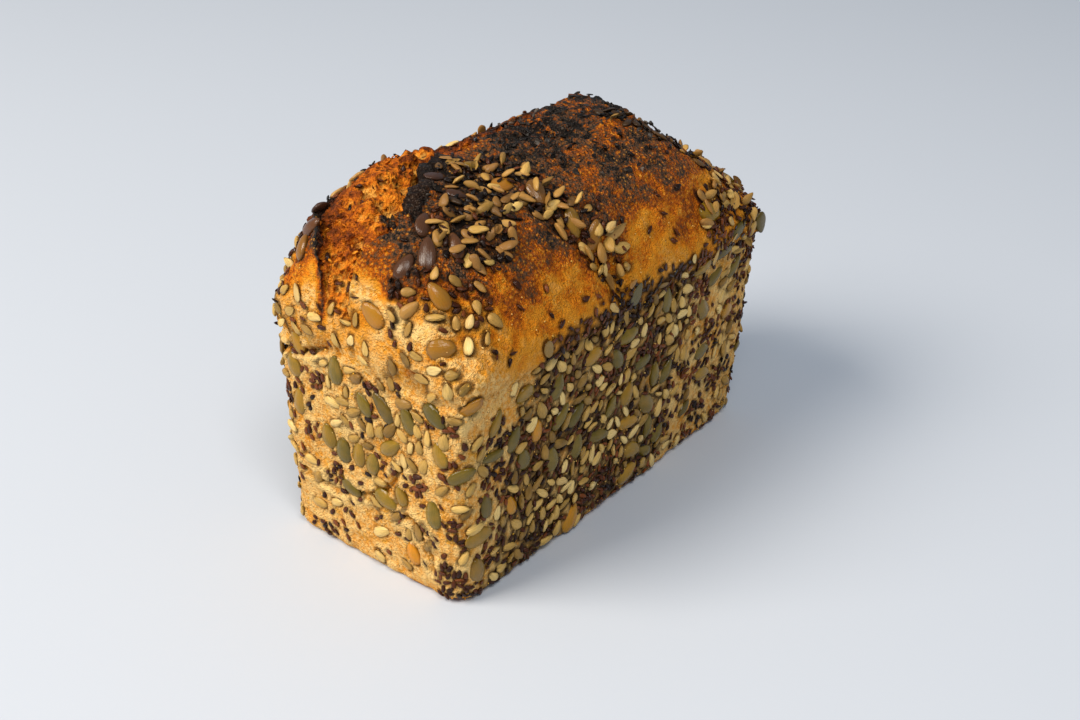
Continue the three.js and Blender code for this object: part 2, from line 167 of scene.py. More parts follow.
def to_line(x, y, line):
    """Distance to a line of points, and how far along it, from 0 to 1."""
    nearest = np.full(np.shape(x), 1e9)
    along = np.zeros(np.shape(x))
    for i, ((x0, y0), (x1, y1)) in enumerate(zip(line, line[1:])):
        dx, dy = x1 - x0, y1 - y0
        t = np.clip(((x - x0) * dx + (y - y0) * dy) / (dx * dx + dy * dy), 0, 1)
        distance = np.hypot(x - x0 - t * dx, y - y0 - t * dy)
        closer = distance < nearest
        nearest = np.where(closer, distance, nearest)
        along = np.where(closer, (i + t) / (len(line) - 1), along)
    return nearest, along


def lumpiness(x, y, z):
    """The loaf's broad unevenness, as its solid has it, from -1 to 1."""
    broad = np.sin(x / 9.1 + y / 14.3 + 0.7) * np.cos(z / 11.7 - y / 17.9 + 1.9)
    close = np.sin(x / 5.3 - z / 7.9 + 2.1) * np.cos(y / 8.7 + z / 13.1 + 0.3)
    return 0.65 * broad + 0.35 * close


LATTICE = np.random.RandomState(7).uniform(-1, 1, 4096)


def noise(points, size, shift=0.0):
    """Smooth random values from -1 to 1, with lumps of about that size."""
    q = np.asarray(points) / size + shift
    cell = np.floor(q).astype(np.int64)
    f = q - cell
    f = f * f * f * (f * (f * 6 - 15) + 10)
    total = np.zeros(len(q))
    for corner in range(8):
        step = np.array([corner & 1, (corner >> 1) & 1, corner >> 2])
        x, y, z = (cell + step).T
        value = LATTICE[(x * 73856093 ^ y * 19349663 ^ z * 83492791) % len(LATTICE)]
        total += value * np.prod(np.where(step == 1, f, 1 - f), axis=1)
    return total


def layered(points, layers):
    """Layers of noise, each with its strength, the size of its lumps and its shift."""
    return sum(strength * noise(points, size, shift) for strength, size, shift in layers)


def creases(points, sizes, shift, sharp):
    """Ridges and valleys drawn out by those sizes: 1 on a ridge, lower the sharper they are."""
    return 1 - sharp * np.abs(noise(points / np.array(sizes), 1, shift))


# ---- the crust -----------------------------------------------------------------------


def skin(a, b, wall_height, on_top):
    """Points of the crust, as the solid has them, and how far each is over the rim.

    a and b run from -1 to 1 across and along the loaf."""
    half_width, half_length = tin.width / 2, tin.length / 2
    across_arch = np.where(a < 0, arch(a, dome.left), arch(a, dome.right))
    along_arch = np.where(b < 0, arch(b, dome.near), arch(b, dome.far))
    rise = dome.rise * across_arch * along_arch
    fall = dome.fall * smooth(b * (half_length + tin.flare), dome.fall_from, dome.fall_to)
    rise = rise * (1 - fall * (1 - dome.fall_at_sides * np.abs(a)))
    z = np.where(on_top, tin.depth + rise, wall_height)

    corner = tin.corner + (dome.corner - tin.corner) * smooth(z - tin.depth, 0, 45)
    x, y = a * half_width, b * half_length
    over_x = np.maximum(np.abs(x) - (half_width - corner), 0)
    over_y = np.maximum(np.abs(y) - (half_length - corner), 0)
    over = np.hypot(over_x, over_y)
    pull = np.where(over > 0, np.maximum(over_x, over_y) / np.maximum(over, 1e-12), 1)
    x = np.sign(x) * (np.minimum(np.abs(x), half_width - corner) + over_x * pull)
    y = np.sign(y) * (np.minimum(np.abs(y), half_length - corner) + over_y * pull)

    flare = tin.flare * np.minimum(z / tin.depth, 1)
    swell = hump(z - tin.depth - lip.height, lip.tall)
    tuck = lip.tuck * hump(z - tin.depth + 1, lip.tuck_tall)
    low = np.clip(z / tin.foot, 0, 1)
    foot = tin.foot * (1 - np.sqrt(1 - (1 - low) ** 2))
    left_lip = lip.left * (0.1 + 0.9 * smooth(y, -95, -30))
    lump = lumpiness(x, y, z)
    outward = flare - tuck - foot + lumps.walls * lump
    out_x = outward + swell * np.where(a < 0, left_lip, lip.right) + tin.belly * (1 - b * b)
    out_y = outward + swell * np.where(b < 0, lip.near, lip.far)
    x = x + out_x * np.sign(a) * np.abs(a) ** 3
    y = y + out_y * np.sign(b) * np.abs(b) ** 5
    z = np.where(on_top, z + top_relief(x, y, rise, lump), z)
    return np.stack([x, y, z], axis=-1), rise


def slash_open(y, rise):
    """1 where the slash stands open, 0 at the rim and where it has closed."""
    return smooth(rise, tear.open_from, tear.open_to) * smooth(tear.closed - y, 0, tear.closing)


def top_relief(x, y, rise, lump):
    """How far the dome stands out or lies back: its swellings, the slash and the crease."""
    inland = smooth(rise, 0, 14)
    opening = slash_open(y, rise)
    middle, half = slash_at(y)
    across = (x - middle) / half
    z = inland * knob.high * hump(x - knob.x, knob.wide) * hump(y - knob.y, knob.long)
    z = z + opening * shoulder.high * hump(x - shoulder.x, shoulder.wide) \
        * hump(y - shoulder.y, shoulder.long)

    inside = smooth(half + 1 - np.abs(x - middle), 0, 2)
    hollow = 1 - np.clip(across, -1, 1) ** 2
    floor = tear.floor + tear.sink * smooth(across, -0.3, 0.9)
    floor = floor + mouth.deep * hump(y - mouth.y, mouth.long) * hollow
    floor = floor - tear.rags * hollow * np.sin(x / 2.7 + y / 7.1) * np.sin(y / 3.3 - x / 6.3 + 1)
    z = z - opening * inside * floor
    past_ear = x - middle - half
    past_left = middle - half - x
    ear = np.where(past_ear > 0, np.exp(-np.maximum(past_ear, 0) / tear.ear_fade),
                   smooth(past_ear, -2, 0))
    left_edge = np.where(past_left > 0, np.exp(-np.maximum(past_left, 0) / tear.left_fade),
                         smooth(past_left, -2, 0))
    z = z + opening * (tear.ear * ear + tear.left_edge * left_edge)

    fold, along = to_line(x, y, crease.line)
    z = z - inland * (crease.deep + crease.at_rim * (1 - along) ** 3) * hump(fold, crease.wide)
    return z + inland * (lumps.top - lumps.walls) * lump


# ---- seeds: where they lie -----------------------------------------------------------


class Draws:
    """A run of random numbers, the same in every script that starts it at the same place."""

    def __init__(self, first):
        self.state = first

    def take(self, count):
        values = np.empty(count)
        for n in range(count):
            self.state = (self.state * 1664525 + 1013904223) % 4294967296
            values[n] = self.state / 4294967296
        return values

    def rewind_to(self, value):
        self.state = int(round(value * 4294967296))


def face_points(face, s, t):
    """Points of the crust on each face, for s along it and t up it, both -1 to 1."""
    wave_s, wave_t = np.sin(np.pi / 2 * s), np.sin(np.pi / 2 * t)
    one = np.ones_like(s)
    a = np.choose(face, [s, one, -s, -one, wave_s])
    b = np.choose(face, [-one, s, one, -s, wave_t])
    return skin(a, b, tin.depth * (t + 1) / 2, face == TOP)[0]


def spots_at(face, s, t):
    """Points, ways out, ways up the face and the areas around them."""
    step = 0.004
    point = face_points(face, s, t)
    ds = np.where(s > 0, -step, step)
    dt = np.where(t > 0, -step, step)
    along = (face_points(face, s + ds, t) - point) / ds[:, None]
    up = (face_points(face, s, t + dt) - point) / dt[:, None]
    out = np.cross(along, up)
    area = np.linalg.norm(out, axis=1)
    return point, out / area[:, None], up / np.linalg.norm(up, axis=1)[:, None], area


def patchy(u, z):
    """Thick and thin places in the seeds of a wall, from 0 to 1."""
    return 0.5 + 0.5 * np.sin(u / 6.7 + 1.1 * np.sin(z / 9.3)) * np.sin(z / 7.9 + u / 23 + 0.6)


def drifted(x, y, lines=drifts):
    """1 in the middle of the drifts of seeds on the dome, 0 outside of them."""
    return np.max([d.full * smooth(d.wide - to_line(x, y, d.line)[0], 0, 4) for d in lines], axis=0)


def on_long_side(x):
    return smooth(np.abs(x), 40, 46)


def cover(face, point, kind):
    """How thickly spots are seeded with one kind, from 0 to 1."""
    x, y, z = point.T
    below_rim = smooth(tin.depth - z, 2, 6)
    bare = smooth(z - 0.45 * x, 22, 52)
    on_near = kind.on_walls * below_rim * bare * (0.4 + 0.3 * patchy(x, z))
    on_wall = kind.on_walls * below_rim * (0.7 + 0.3 * patchy(np.where(face == FAR, x, y), z))
    long_side = on_long_side(x) * smooth(y, over_rim.start, over_rim.end)
    band = 0.7 * kind.on_walls * long_side * smooth(over_rim.top - z, 0, 4)
    on_top = np.maximum(kind.on_dome * drifted(x, y), band)
    return np.where(face == TOP, on_top, np.where(face == NEAR, on_near, on_wall))


class Bed:
    """Where seeds already lie. Each takes up three balls along its length."""

    def __init__(self, most):
        self.balls = np.zeros((3 * most, 3))
        self.radii = np.zeros(3 * most)
        self.count = 0

    def take_room(self, centre, way, long, wide, room):
        radius = wide / 2
        reach = max(long / 2 - radius, 0)
        balls = centre + np.array([-reach, 0, reach])[:, None] * way
        laid = self.balls[:self.count]
        close = np.abs(laid[:, 1] - centre[1]) < long
        laid = laid[close]
        gaps = ((laid[None] - balls[:, None]) ** 2).sum(-1)
        if (gaps < (room * (self.radii[:self.count][close] + radius)) ** 2).any():
            return False
        self.balls[self.count:self.count + 3] = balls
        self.radii[self.count:self.count + 3] = radius
        self.count += 3
        return True


bed = Bed(9000)
upper_bed = Bed(900)


def lay(kind, point, out, up, turn, size, face, room, bed=bed):
    """One seed on a spot, turned from the way up the face, if it has room there."""
    side = np.cross(up, out)
    side /= np.linalg.norm(side)
    way = np.cross(out, side) * math.cos(turn) + side * math.sin(turn)
    centre = point + out * kind.proud
    across = np.cross(way, out)
    half_tall = math.hypot(way[2] * kind.long * size, across[2] * kind.wide * size,
                           out[2] * kind.thick) / 2
    if centre[2] - half_tall < packing.clear_of_table:
        return None
    if not bed.take_room(centre, way, kind.long * size, kind.wide * size, room):
        return None
    return Sizes(centre=centre, way=way, out=out, size=size, face=face)


def unwave(value):
    """The place on the dome's grid, from -1 to 1, of a place across or along it."""
    return np.arcsin(np.clip(value, -1, 1)) / (np.pi / 2)


def standing_seeds():
    """The seeds that the table places one by one."""
    face = np.array([FACE_NUMBER[row[0]] for row in standing])
    u, v, turn, tint, toast = np.array([row[1:] for row in standing], float).T
    s = np.where(face == RIGHT, u / (tin.length / 2), u / (tin.width / 2))
    t = np.where(face == TOP, unwave(v / (tin.length / 2)), 2 * v / tin.depth - 1)
    s = np.where(face == TOP, unwave(s), s)
    point, out, up, _ = spots_at(face, s, t)
    seeds = []
    for n in range(len(face)):
        seed = lay(pumpkin, point[n], out[n], up[n], math.radians(turn[n]), 1, face[n], packing.room)
        if seed:
            seed.tint, seed.toast = tint[n], toast[n]
            seeds.append(seed)
    return seeds


def scattered_seeds(kind, most, draws, tries=packing.tries, room=packing.room, cover_of=cover,
                    densest=packing.densest, bed=bed):
    """Seeds at random spots, thickest where the cover is, until there are enough."""
    values = draws.take(6 * tries).reshape(tries, 6)
    pick, s, t, keep, turn, size = values.T
    face = np.floor(pick * 5).astype(int)
    point, out, up, area = spots_at(face, 2 * s - 1, 2 * t - 1)
    wanted = keep <= area / densest * cover_of(face, point, kind)
    seeds = []
    used = tries
    for n in range(tries):
        if len(seeds) >= most:
            used = n
            break
        if wanted[n]:
            seed = lay(kind, point[n], out[n], up[n], math.pi * (turn[n] - 0.35),
                       0.86 + 0.28 * size[n], face[n], room, bed)
            if seed:
                seeds.append(seed)
    draws.rewind_to(values[used - 1, 5])
    return seeds


heaps = drifts[:3]
other_drifts = drifts[4:]
# The border of the rolled-on seeds, their packed field on the long side, the cluster on the
# near end, and the two burnt places of the dome.
border = Sizes(near=86, soft=4, more=6, more_from=45, more_to=80, far_end=96, far_full=102)
packed_field = Sizes(start=-86, full=-75, end=44, fade=5, ragged=9, lump=15, slant=0.22, level=60)
near_cluster = Sizes(x=8, z=76, wide=30, tall=23, cover=0.5)
burnt_strip = Sizes(past_ear=2.5, reach=6, fade=2.5, ragged=2.5, lump=5.5, start=-93, full=-86)
burnt_crest = Sizes(low=155, high=165, start=-40, full=5, flakes_low=150, flakes_high=158)


def border_at(y):
    """How high the seeds reach that the long sides and the far end are rolled in."""
    high = border.near + (over_rim.top - border.near) * smooth(y, over_rim.start, over_rim.end)
    return high + border.more * smooth(y, border.more_from, border.more_to)


def below_border(x, y, z):
    rolled = np.maximum(on_long_side(x), smooth(y, border.far_end, border.far_full))
    return smooth(border_at(y) - z, 0, border.soft) * rolled


def clumps(point):
    """Where the flax between the larger seeds gathers, from 0 to 1."""
    return smooth(noise(point, 11, 3.1) + 0.7 * noise(point, 5, 9.7), -0.45, 0.3)


def in_spots(u, z, spots):
    """1 in the round spots of a table, 0 outside of them."""
    return np.max([smooth(1.3 - np.hypot(u - at, z - up) / wide, 0, 0.6)
                   for at, up, wide in spots], axis=0)


def packed_at(point):
    """1 where the seeds on the walls lie packed, 0 where dough shows between their tufts."""
    x, y, z = point.T
    field = packed_field
    edge = y + field.ragged * noise(point, field.lump, 2.9) + field.slant * (field.level - z)
    middle = smooth(edge, field.start, field.full) * smooth(field.end - edge, -field.fade, field.fade)
    elsewhere = smooth(noise(point, 26, 6.6), -0.4, -0.05) * smooth(y, -104, -97)
    return np.where(x > 40, middle * (1 - in_spots(y, z, side_bare)), elsewhere)


def tuft_cover(face, point, kind):
    """Flax lies in tufts, and in a dark band under the border of the seeds."""
    x, y, z = point.T
    band = hump(z - border_at(y) + 5, 4) * smooth(y, -66, -54) * on_long_side(x)
    loose = smooth(noise(point, 9, 8.4), 0.12, 0.24) * (1 - packed_at(point)) * below_border(x, y, z)
    elsewhere = smooth(noise(point, 12, 8.4), 0.1, 0.4)
    right_wall = np.maximum(in_spots(y, z, side_tufts), loose)
    on_walls = np.maximum(np.where(x > 40, right_wall, elsewhere), band)
    return np.where(face == TOP, band, np.where(face == NEAR, in_spots(x, z, near_tufts), on_walls))


def all_cover(face, point, kind):
    """Cover of the seeds that are only drawn: thicker than that of the solid's seeds."""
    x, y, z = point.T
    rolled = below_border(x, y, z) * (0.16 + 0.84 * packed_at(point))
    away = np.hypot((x - near_cluster.x) / near_cluster.wide, (z - near_cluster.z) / near_cluster.tall)
    middle = near_cluster.cover * smooth(1.25 - away, 0, 0.5)
    at_sides = 0.2 * smooth(x, 22, 34) * smooth(z, 30, 45) + 0.2 * smooth(-x, 36, 43) * smooth(z, 40, 60)
    on_near = np.maximum(np.maximum(middle, at_sides) * smooth(tin.depth - z, 0, 5), 0.03)
    heap_here = 0.42 * drifted(x, y, heaps[:2]) + 0.16 * drifted(x, y, heaps[2:])
    on_top = np.maximum(np.maximum(heap_here, 0.8 * drifted(x, y, drifts[3:])), rolled)
    on_top = np.maximum(on_top, 0.08 * smooth(-y, 103, 108) * smooth(130 - z, 0, 8))
    return np.where(face == TOP, on_top, np.where(face == NEAR, on_near, rolled))


def flax_cover(face, point, kind):
    """Flax between the larger seeds."""
    x, y, z = point.T
    clump = clumps(point)
    packed = packed_at(point)
    rolled = below_border(x, y, z) * (0.02 + 0.07 * clump + packed * (0.33 + 0.4 * clump))
    on_near = (0.012 + 0.07 * clump ** 2) * smooth(tin.depth + 2 - z, 0, 8)
    on_heaps = 0.8 * drifted(x, y, heaps[:2]) + 0.4 * drifted(x, y, heaps[2:])
    on_top = np.maximum(np.maximum(on_heaps, 0.9 * drifted(x, y, drifts[3:])), np.maximum(rolled, 0.012))
    on_top = np.maximum(on_top, 0.06 * clump * smooth(-y, 103, 108) * smooth(132 - z, 0, 8))
    return np.where(face == TOP, on_top, np.where(face == NEAR, on_near, rolled))


def heap_cover(face, point, kind):
    """The second layer of seeds, which lies loose on the drifts."""
    x, y, z = point.T
    on_top = np.maximum(drifted(x, y, heaps[:2]), 0.35 * drifted(x, y, other_drifts))
    return np.where(face == TOP, on_top, 0)


def by_open_slash(y):
    return smooth(-y, 30, 42)


def charred(x, y, z):
    """1 on the burnt strip beside the slash and on the crest."""
    middle, half = slash_at(y)
    past_ear = x - middle - half
    ragged = burnt_strip.ragged * noise(np.stack([x, y, z], axis=-1), burnt_strip.lump, 3.9)
    inside = burnt_strip.reach + ragged - np.abs(past_ear - burnt_strip.past_ear)
    beside = smooth(inside, 0, burnt_strip.fade) * by_open_slash(y)
    beside = beside * smooth(y, burnt_strip.start, burnt_strip.full)
    on_crest = smooth(z, burnt_crest.low, burnt_crest.high) * smooth(y, burnt_crest.start, burnt_crest.full)
    return np.maximum(beside, on_crest)


def flake_cover(face, point, kind):
    """Flakes of char lie where it is burnt, and thinly around the crest."""
    x, y, z = point.T
    round_crest = 0.45 * smooth(z, burnt_crest.flakes_low, burnt_crest.flakes_high) \
        * smooth(y, burnt_crest.start, burnt_crest.full)
    return np.where(face == TOP, np.maximum(charred(x, y, z), round_crest), 0)


def torn_cover(face, point, kind):
    """Shreds of crumb stand up inside the slash."""
    x, y, z = point.T
    middle, half = slash_at(y)
    open_here = smooth(z, 134, 146) * smooth(-y, 30, 60)
    return np.where(face == TOP, open_here * smooth(half - np.abs(x - middle), 0, 2), 0)


def dough_cover(face, point, kind):
    """Grits of cornmeal stick to the pale dough."""
    return np.where(face == TOP, 0.5 * smooth(140 - point[:, 2], 0, 15), 1)


# The solid has all the pumpkin seeds and the first kernels. The rest are only drawn.
draws = Draws(packing.first_draw)
pumpkins = standing_seeds()
pumpkins += scattered_seeds(pumpkin, pumpkin.most - len(pumpkins), draws)
kernels = scattered_seeds(sunflower, sunflower.most, draws)
flaxes = scattered_seeds(flax, flax.in_tufts, draws,
                         tries=26000, room=0.48, cover_of=tuft_cover, densest=3600)
kernels += scattered_seeds(rolled_on, rolled_on.most, draws,
                           tries=26000, room=0.76, cover_of=all_cover, densest=4200)
flaxes += scattered_seeds(flax, flax.most - len(flaxes), draws,
                          tries=30000, room=0.56, cover_of=flax_cover, densest=5600)
heap = scattered_seeds(heaped, heaped.most, draws,
                       tries=5000, room=0.8, cover_of=heap_cover, densest=8000, bed=upper_bed)
husks = scattered_seeds(husk, husk.most, draws,
                        tries=5000, room=0.6, cover_of=heap_cover, densest=8000, bed=upper_bed)
flaxes += scattered_seeds(piled_flax, piled_flax.most, draws,
                          tries=9000, room=0.5, cover_of=heap_cover, densest=5600, bed=upper_bed)
flakes = scattered_seeds(flake, flake.most, draws,
                         tries=7000, room=0.5, cover_of=flake_cover, densest=8000, bed=Bed(500))
shreds = scattered_seeds(shred, shred.most, draws,
                         tries=14000, room=0.4, cover_of=torn_cover, densest=8000, bed=Bed(600))
grits = scattered_seeds(grit, grit.most, draws,
                        tries=5000, room=0.5, cover_of=dough_cover, densest=5600, bed=Bed(3000))

# ---- the crust as one closed mesh ----------------------------------------------------

grid = Sizes(left=34, inside=52, right=80, rows=262, near_pull=0.16, wall_rows=60, wall_ends=0.25)
column_count = grid.left + grid.inside + grid.right


def columns_at(i, b):
    """Columns follow the slash, so that both its edges stay sharp."""
    middle, half = slash_at(b * (tin.length / 2 + tin.flare))
    left_edge = (middle - half) / (tin.width / 2)
    right_edge = (middle + half) / (tin.width / 2)
    t = np.clip(i / grid.left, 0, 1)
    left = -1 + (left_edge + 1) * (1 - np.cos(np.pi / 2 * t))
    inside = left_edge + (right_edge - left_edge) * (i - grid.left) / grid.inside
    t = np.clip((i - grid.left - grid.inside) / grid.right, 0, 1)
    right = right_edge + (1 - right_edge) * np.sin(np.pi / 2 * t)
    return np.where(i <= grid.left, left, np.where(i <= grid.left + grid.inside, inside, right))


def rows_at(j):
    """Rows lie closer at both ends, and closest at the near one."""
    t = 2 * j / grid.rows - 1
    return np.sin(np.pi / 2 * (t - grid.near_pull * (1 - t * t)))


def heights_at(k):
    """Rings of the walls lie closer at the table and at the rim."""
    t = k / grid.wall_rows
    return tin.depth * ((1 - grid.wall_ends) * t + grid.wall_ends * (1 - np.cos(np.pi * t)) / 2)


def sheet(ni, nj, place):
    """Points and quads of a grid, whose corner (i, j) is at place(i, j)."""
    i, j = np.meshgrid(np.arange(ni + 1.0), np.arange(nj + 1.0), indexing="ij")
    points, rise = place(i.ravel(), j.ravel())
    corner = np.arange((ni + 1) * (nj + 1)).reshape(ni + 1, nj + 1)
    quads = np.stack([corner[:-1, :-1], corner[1:, :-1], corner[1:, 1:], corner[:-1, 1:]], axis=-1)
    return points, rise, quads.reshape(-1, 4)


def crust_grid():
    """The dome and the four walls, joined where their edges meet."""
    one = np.ones_like
    sheets = [
        sheet(column_count, grid.rows,
              lambda i, j: skin(columns_at(i, rows_at(j)), rows_at(j), 0, True)),
        sheet(column_count, grid.wall_rows,
              lambda i, k: skin(columns_at(i, -one(i)), -one(i), heights_at(k), False)),
        sheet(column_count, grid.wall_rows,
              lambda i, k: skin(columns_at(column_count - i, one(i)), one(i), heights_at(k), False)),
        sheet(grid.rows, grid.wall_rows, lambda j, k: skin(one(j), rows_at(j), heights_at(k), False)),
        sheet(grid.rows, grid.wall_rows,
              lambda j, k: skin(-one(j), rows_at(grid.rows - j), heights_at(k), False)),
    ]
    start = np.cumsum([0] + [len(points) for points, _, _ in sheets])
    points = np.concatenate([points for points, _, _ in sheets])
    quads = np.concatenate([quads + first for (_, _, quads), first in zip(sheets, start)])
    on_top = np.arange(len(points)) < start[1]
    rise = np.concatenate([rise for _, rise, _ in sheets])
    _, first, merged = np.unique(np.round(points, 3), axis=0, return_index=True, return_inverse=True)
    quads = merged.ravel()[quads]
    keep = np.array([len(set(quad)) == 4 for quad in quads])
    return points[first], quads[keep], np.where(on_top, rise, 0)[first], on_top[first]


def normals_of(points, quads):
    corners = points[quads]
    face = np.cross(corners[:, 2] - corners[:, 0], corners[:, 3] - corners[:, 1])
    total = np.zeros_like(points)
    for corner in range(4):
        for axis in range(3):
            total[:, axis] += np.bincount(quads[:, corner], face[:, axis], len(points))
    return total / np.maximum(np.linalg.norm(total, axis=1), 1e-9)[:, None]


def clear_of_seeds(points):
    """Millimetres from each point to the nearest seed on the crust, negative under it."""
    tree = kdtree.KDTree(bed.count)
    for n in range(bed.count):
        tree.insert(bed.balls[n], n)
    tree.balance()
    nearest = np.array([tree.find(p)[1:] for p in points])
    return nearest[:, 1] - bed.radii[nearest[:, 0].astype(int)]


# Folds of the dough in the near end: lines of x and z.
folds = [
    Sizes(line=[(-52, 92), (-32, 97), (-17, 103), (0, 104), (20, 109), (36, 110)],
          deep=2.7, wide=1.5),
    Sizes(line=[(-40, 33), (-18, 31), (2, 38), (14, 33), (24, 37), (35, 30)],
          deep=2.1, wide=1.4),
    Sizes(line=[(2, 38), (12, 46), (20, 60)], deep=1.5, wide=1.5),
    Sizes(line=[(24, 37), (32, 26), (36, 14)], deep=1.8, wide=1.4),
]


def shade_painted_between_seeds(points, clear):
    """1 where shade is painted in the gaps: narrow round single seeds, wide where seeds lie close."""
    x, y, z = points.T
    on_walls = below_border(x, y, z) * packed_at(points)
    crowded = np.maximum(on_walls, 0.45 * drifted(x, y) * smooth(z, 118, 126))
    return (0.72 + 0.25 * crowded) * (1 - smooth(clear, -0.6, 0.6 + 2.4 * crowded))


# How brown each place of the crust is, from 0 for raw dough to 1 for black.
browning = Sizes(walls=0.12, wall_patches=0.06, foot=0.03, foot_patches=0.45, bare=0.08,
                 dome=0.21, lip=0.045, flank=0.15, crest=0.37, crest_from=131, crest_to=160,
                 red_spot=0.12, patches=0.27, under_heaps=0.14,
                 tear=0.49, tear_right=0.14, tear_mouth=0.07, tear_closing=0.26, tear_top=0.21,
                 tear_edge=0.5)
pale = Sizes(up_to=117, more_in_middle=3, more_near=19, below=6, above=14)
red_spot = Sizes(x=33, y=-66, wide=10, long=18)
inner_char = Sizes(x=-12, y=-81, wide=5, long=5, full=1.5)
fold_shade = Sizes(full=0.62, wide=0.9)
crust_patches = [(0.5, 17, 2.3), (0.5, 7, 5.1)]


def dome_browning(x, y, z, patches):
    """Golden at the lip, brown and then dark towards the crest and under the heaps."""
    pale_top = pale.up_to + pale.more_in_middle * smooth(y, -25, 10) + pale.more_near * smooth(-y, 74, 106)
    brown = browning.dome + browning.lip * smooth(x, 30, 44) * smooth(y, -102, -84) * smooth(z, 98, 108)
    brown = brown + browning.flank * smooth(z, pale_top - pale.below, pale_top + pale.above)
    brown = brown + browning.crest * smooth(z, browning.crest_from, browning.crest_to)
    brown = brown + browning.red_spot * oval(x, y, red_spot)
    brown = brown + browning.patches * patches * smooth(z, 112, 130)
    return brown + browning.under_heaps * drifted(x, y, heaps[:2]) * smooth(z, 136, 150)


def wall_browning(z, patches):
    """Pale walls, with brown patches where the loaf stood on the tin's floor."""
    foot = browning.foot + browning.foot_patches * smooth(patches, 0.1, 0.5)
    return browning.walls + browning.wall_patches * patches + foot * (1 - smooth(z, 1, 6))


def tear_browning(across, y, z):
    """The torn crumb is palest at its right, in the mouth and high up beside the ear."""
    brown = browning.tear - browning.tear_right * smooth(across, -0.7, 0.2)
    brown = brown - browning.tear_mouth * smooth(-y, 90, 104)
    brown = brown + browning.tear_closing * smooth(y, -30, 0)
    return brown - browning.tear_top * smooth(z, 147, 157) * smooth(-y, 32, 42)


def crust_marks(points, rise, on_top, clear):
    """How far the crust is baked, torn, burnt and shaded by gaps, each from 0 to 1."""
    x, y, z = points.T
    middle, half = slash_at(y)
    inside = smooth(half + 0.6 - np.abs(x - middle), 0, 1.2)
    torn = on_top * slash_open(y, rise) * inside
    patches = layered(points, crust_patches)

    low = wall_browning(z, patches)
    bake = low + (dome_browning(x, y, z, patches) - low) * smooth(z, tin.depth - 10, tin.depth + 8)
    bake = bake - browning.bare * in_spots(y, z, side_bare) * smooth(x, 42, 46)
    torn_edge = hump(x - middle + half, 2) * smooth(-y, 70, 84) * smooth(z, 112, 124)
    bake = bake + (tear_browning((x - middle) / half, y, z) - bake) * torn + browning.tear_edge * torn_edge

    broken = 0.6 * patches + layered(points, [(0.5, 3.3, 0), (0.3, 1.9, 2.2)])
    solid_black = np.maximum(by_open_slash(y), 0.5 * smooth(z, 160, 165))
    char = charred(x, y, z) * np.maximum(smooth(broken, -0.35, 0.35), solid_black)
    char = np.clip(np.maximum(char, inner_char.full * oval(x, y, inner_char) * torn), 0, 1)
    fold_line = np.min([to_line(x, z, fold.line)[0] for fold in folds], axis=0)
    in_fold = fold_shade.full * hump(fold_line, fold_shade.wide)
    in_fold = in_fold * smooth(-y, 104, 108) * smooth(116 - z, 0, 4)
    return bake, torn, on_top * char, np.maximum(shade_painted_between_seeds(points, clear), in_fold)


pores = Sizes(count=330, small=1.1, large=3.9)


def pores_in(points, where):
    """Depth of the round pores that the slash tore open."""
    rng = np.random.RandomState(5)
    inside = np.flatnonzero(where > 0.5)
    centres = points[rng.choice(inside, pores.count)]
    radii = pores.small + (pores.large - pores.small) * rng.uniform(0, 1, pores.count) ** 2
    tree = kdtree.KDTree(pores.count)
    for n in range(pores.count):
        tree.insert(centres[n], n)
    tree.balance()
    depth = np.zeros(len(points))
    for k in inside:
        for _, n, distance in tree.find_range(points[k], pores.large):
            depth[k] = max(depth[k], radii[n] ** 2 - distance ** 2)
    return np.sqrt(depth)


ear_lump = Sizes(x=-12, y=-44, high=2.4, wide=5, long=6)
tear_shelf = Sizes(y=-46, long=16, high=2, high_at=15, high_wide=7, deep=2.6, deep_at=4, deep_wide=3.5)


def wall_relief(points):
    """Pressed dough: low lumps and creases, rougher at the foot."""
    z = points[:, 2]
    walls = layered(points, [(0.4, 9.5, 0), (0.55, 3.6, 0), (0.25, 2.1, 0)])
    walls = walls + 0.55 * (creases(points, (7, 7, 7), 2.7, 1.6) - 0.5)
    return walls + 0.9 * (1 - smooth(z, 1, 9)) * noise(points, 5.5, 9.1)


def dome_relief(points, char):
    """Blistered and wrinkled crust, cragged like bark where it is burnt."""
    x, y, z = points.T
    high = layered(points, [(0.7, 8.5, 0), (0.6, 3.4, 0), (0.5, 1.9, 0)])
    wrinkles = creases(points, (5, 12, 5), 7.3, 1.5) - 0.5
    high = high + 0.85 * wrinkles * smooth(z, 128, 145)
    bark = creases(points, (2.6, 8, 2.6), 4.4, 2.4)
    burnt = smooth(char, 0.05, 0.6)
    high = high + burnt * (1.7 * bark + 1.2 * noise(points, 2.1, 8))
    crumbled = 1.6 + 2.6 * noise(points, 2.3, 7.7)
    high = high + crumbled * burnt * by_open_slash(y)
    return high + ear_lump.high * oval(x, y, ear_lump)


def tear_relief(points, torn):
    """Open crumb with round pores, drawn into strands at the near end."""
    x, y, _ = points.T
    strands = creases(points, (1.9, 4.5, 15), 6.2, 3)
    stringy = smooth(-y, 90, 102)
    crumb = 1.6 - 1.3 * pores_in(points, torn) + 0.6 * noise(points, 1.9, 3.3)
    middle, half = slash_at(y)
    past_ear = x - middle - half
    shelf = tear_shelf.high * hump(past_ear + tear_shelf.high_at, tear_shelf.high_wide)
    shelf = shelf - tear_shelf.deep * hump(past_ear + tear_shelf.deep_at, tear_shelf.deep_wide)
    shelf = shelf * hump(y - tear_shelf.y, tear_shelf.long)
    return (1 - 0.75 * stringy) * crumb + 1.3 * strands * stringy + shelf


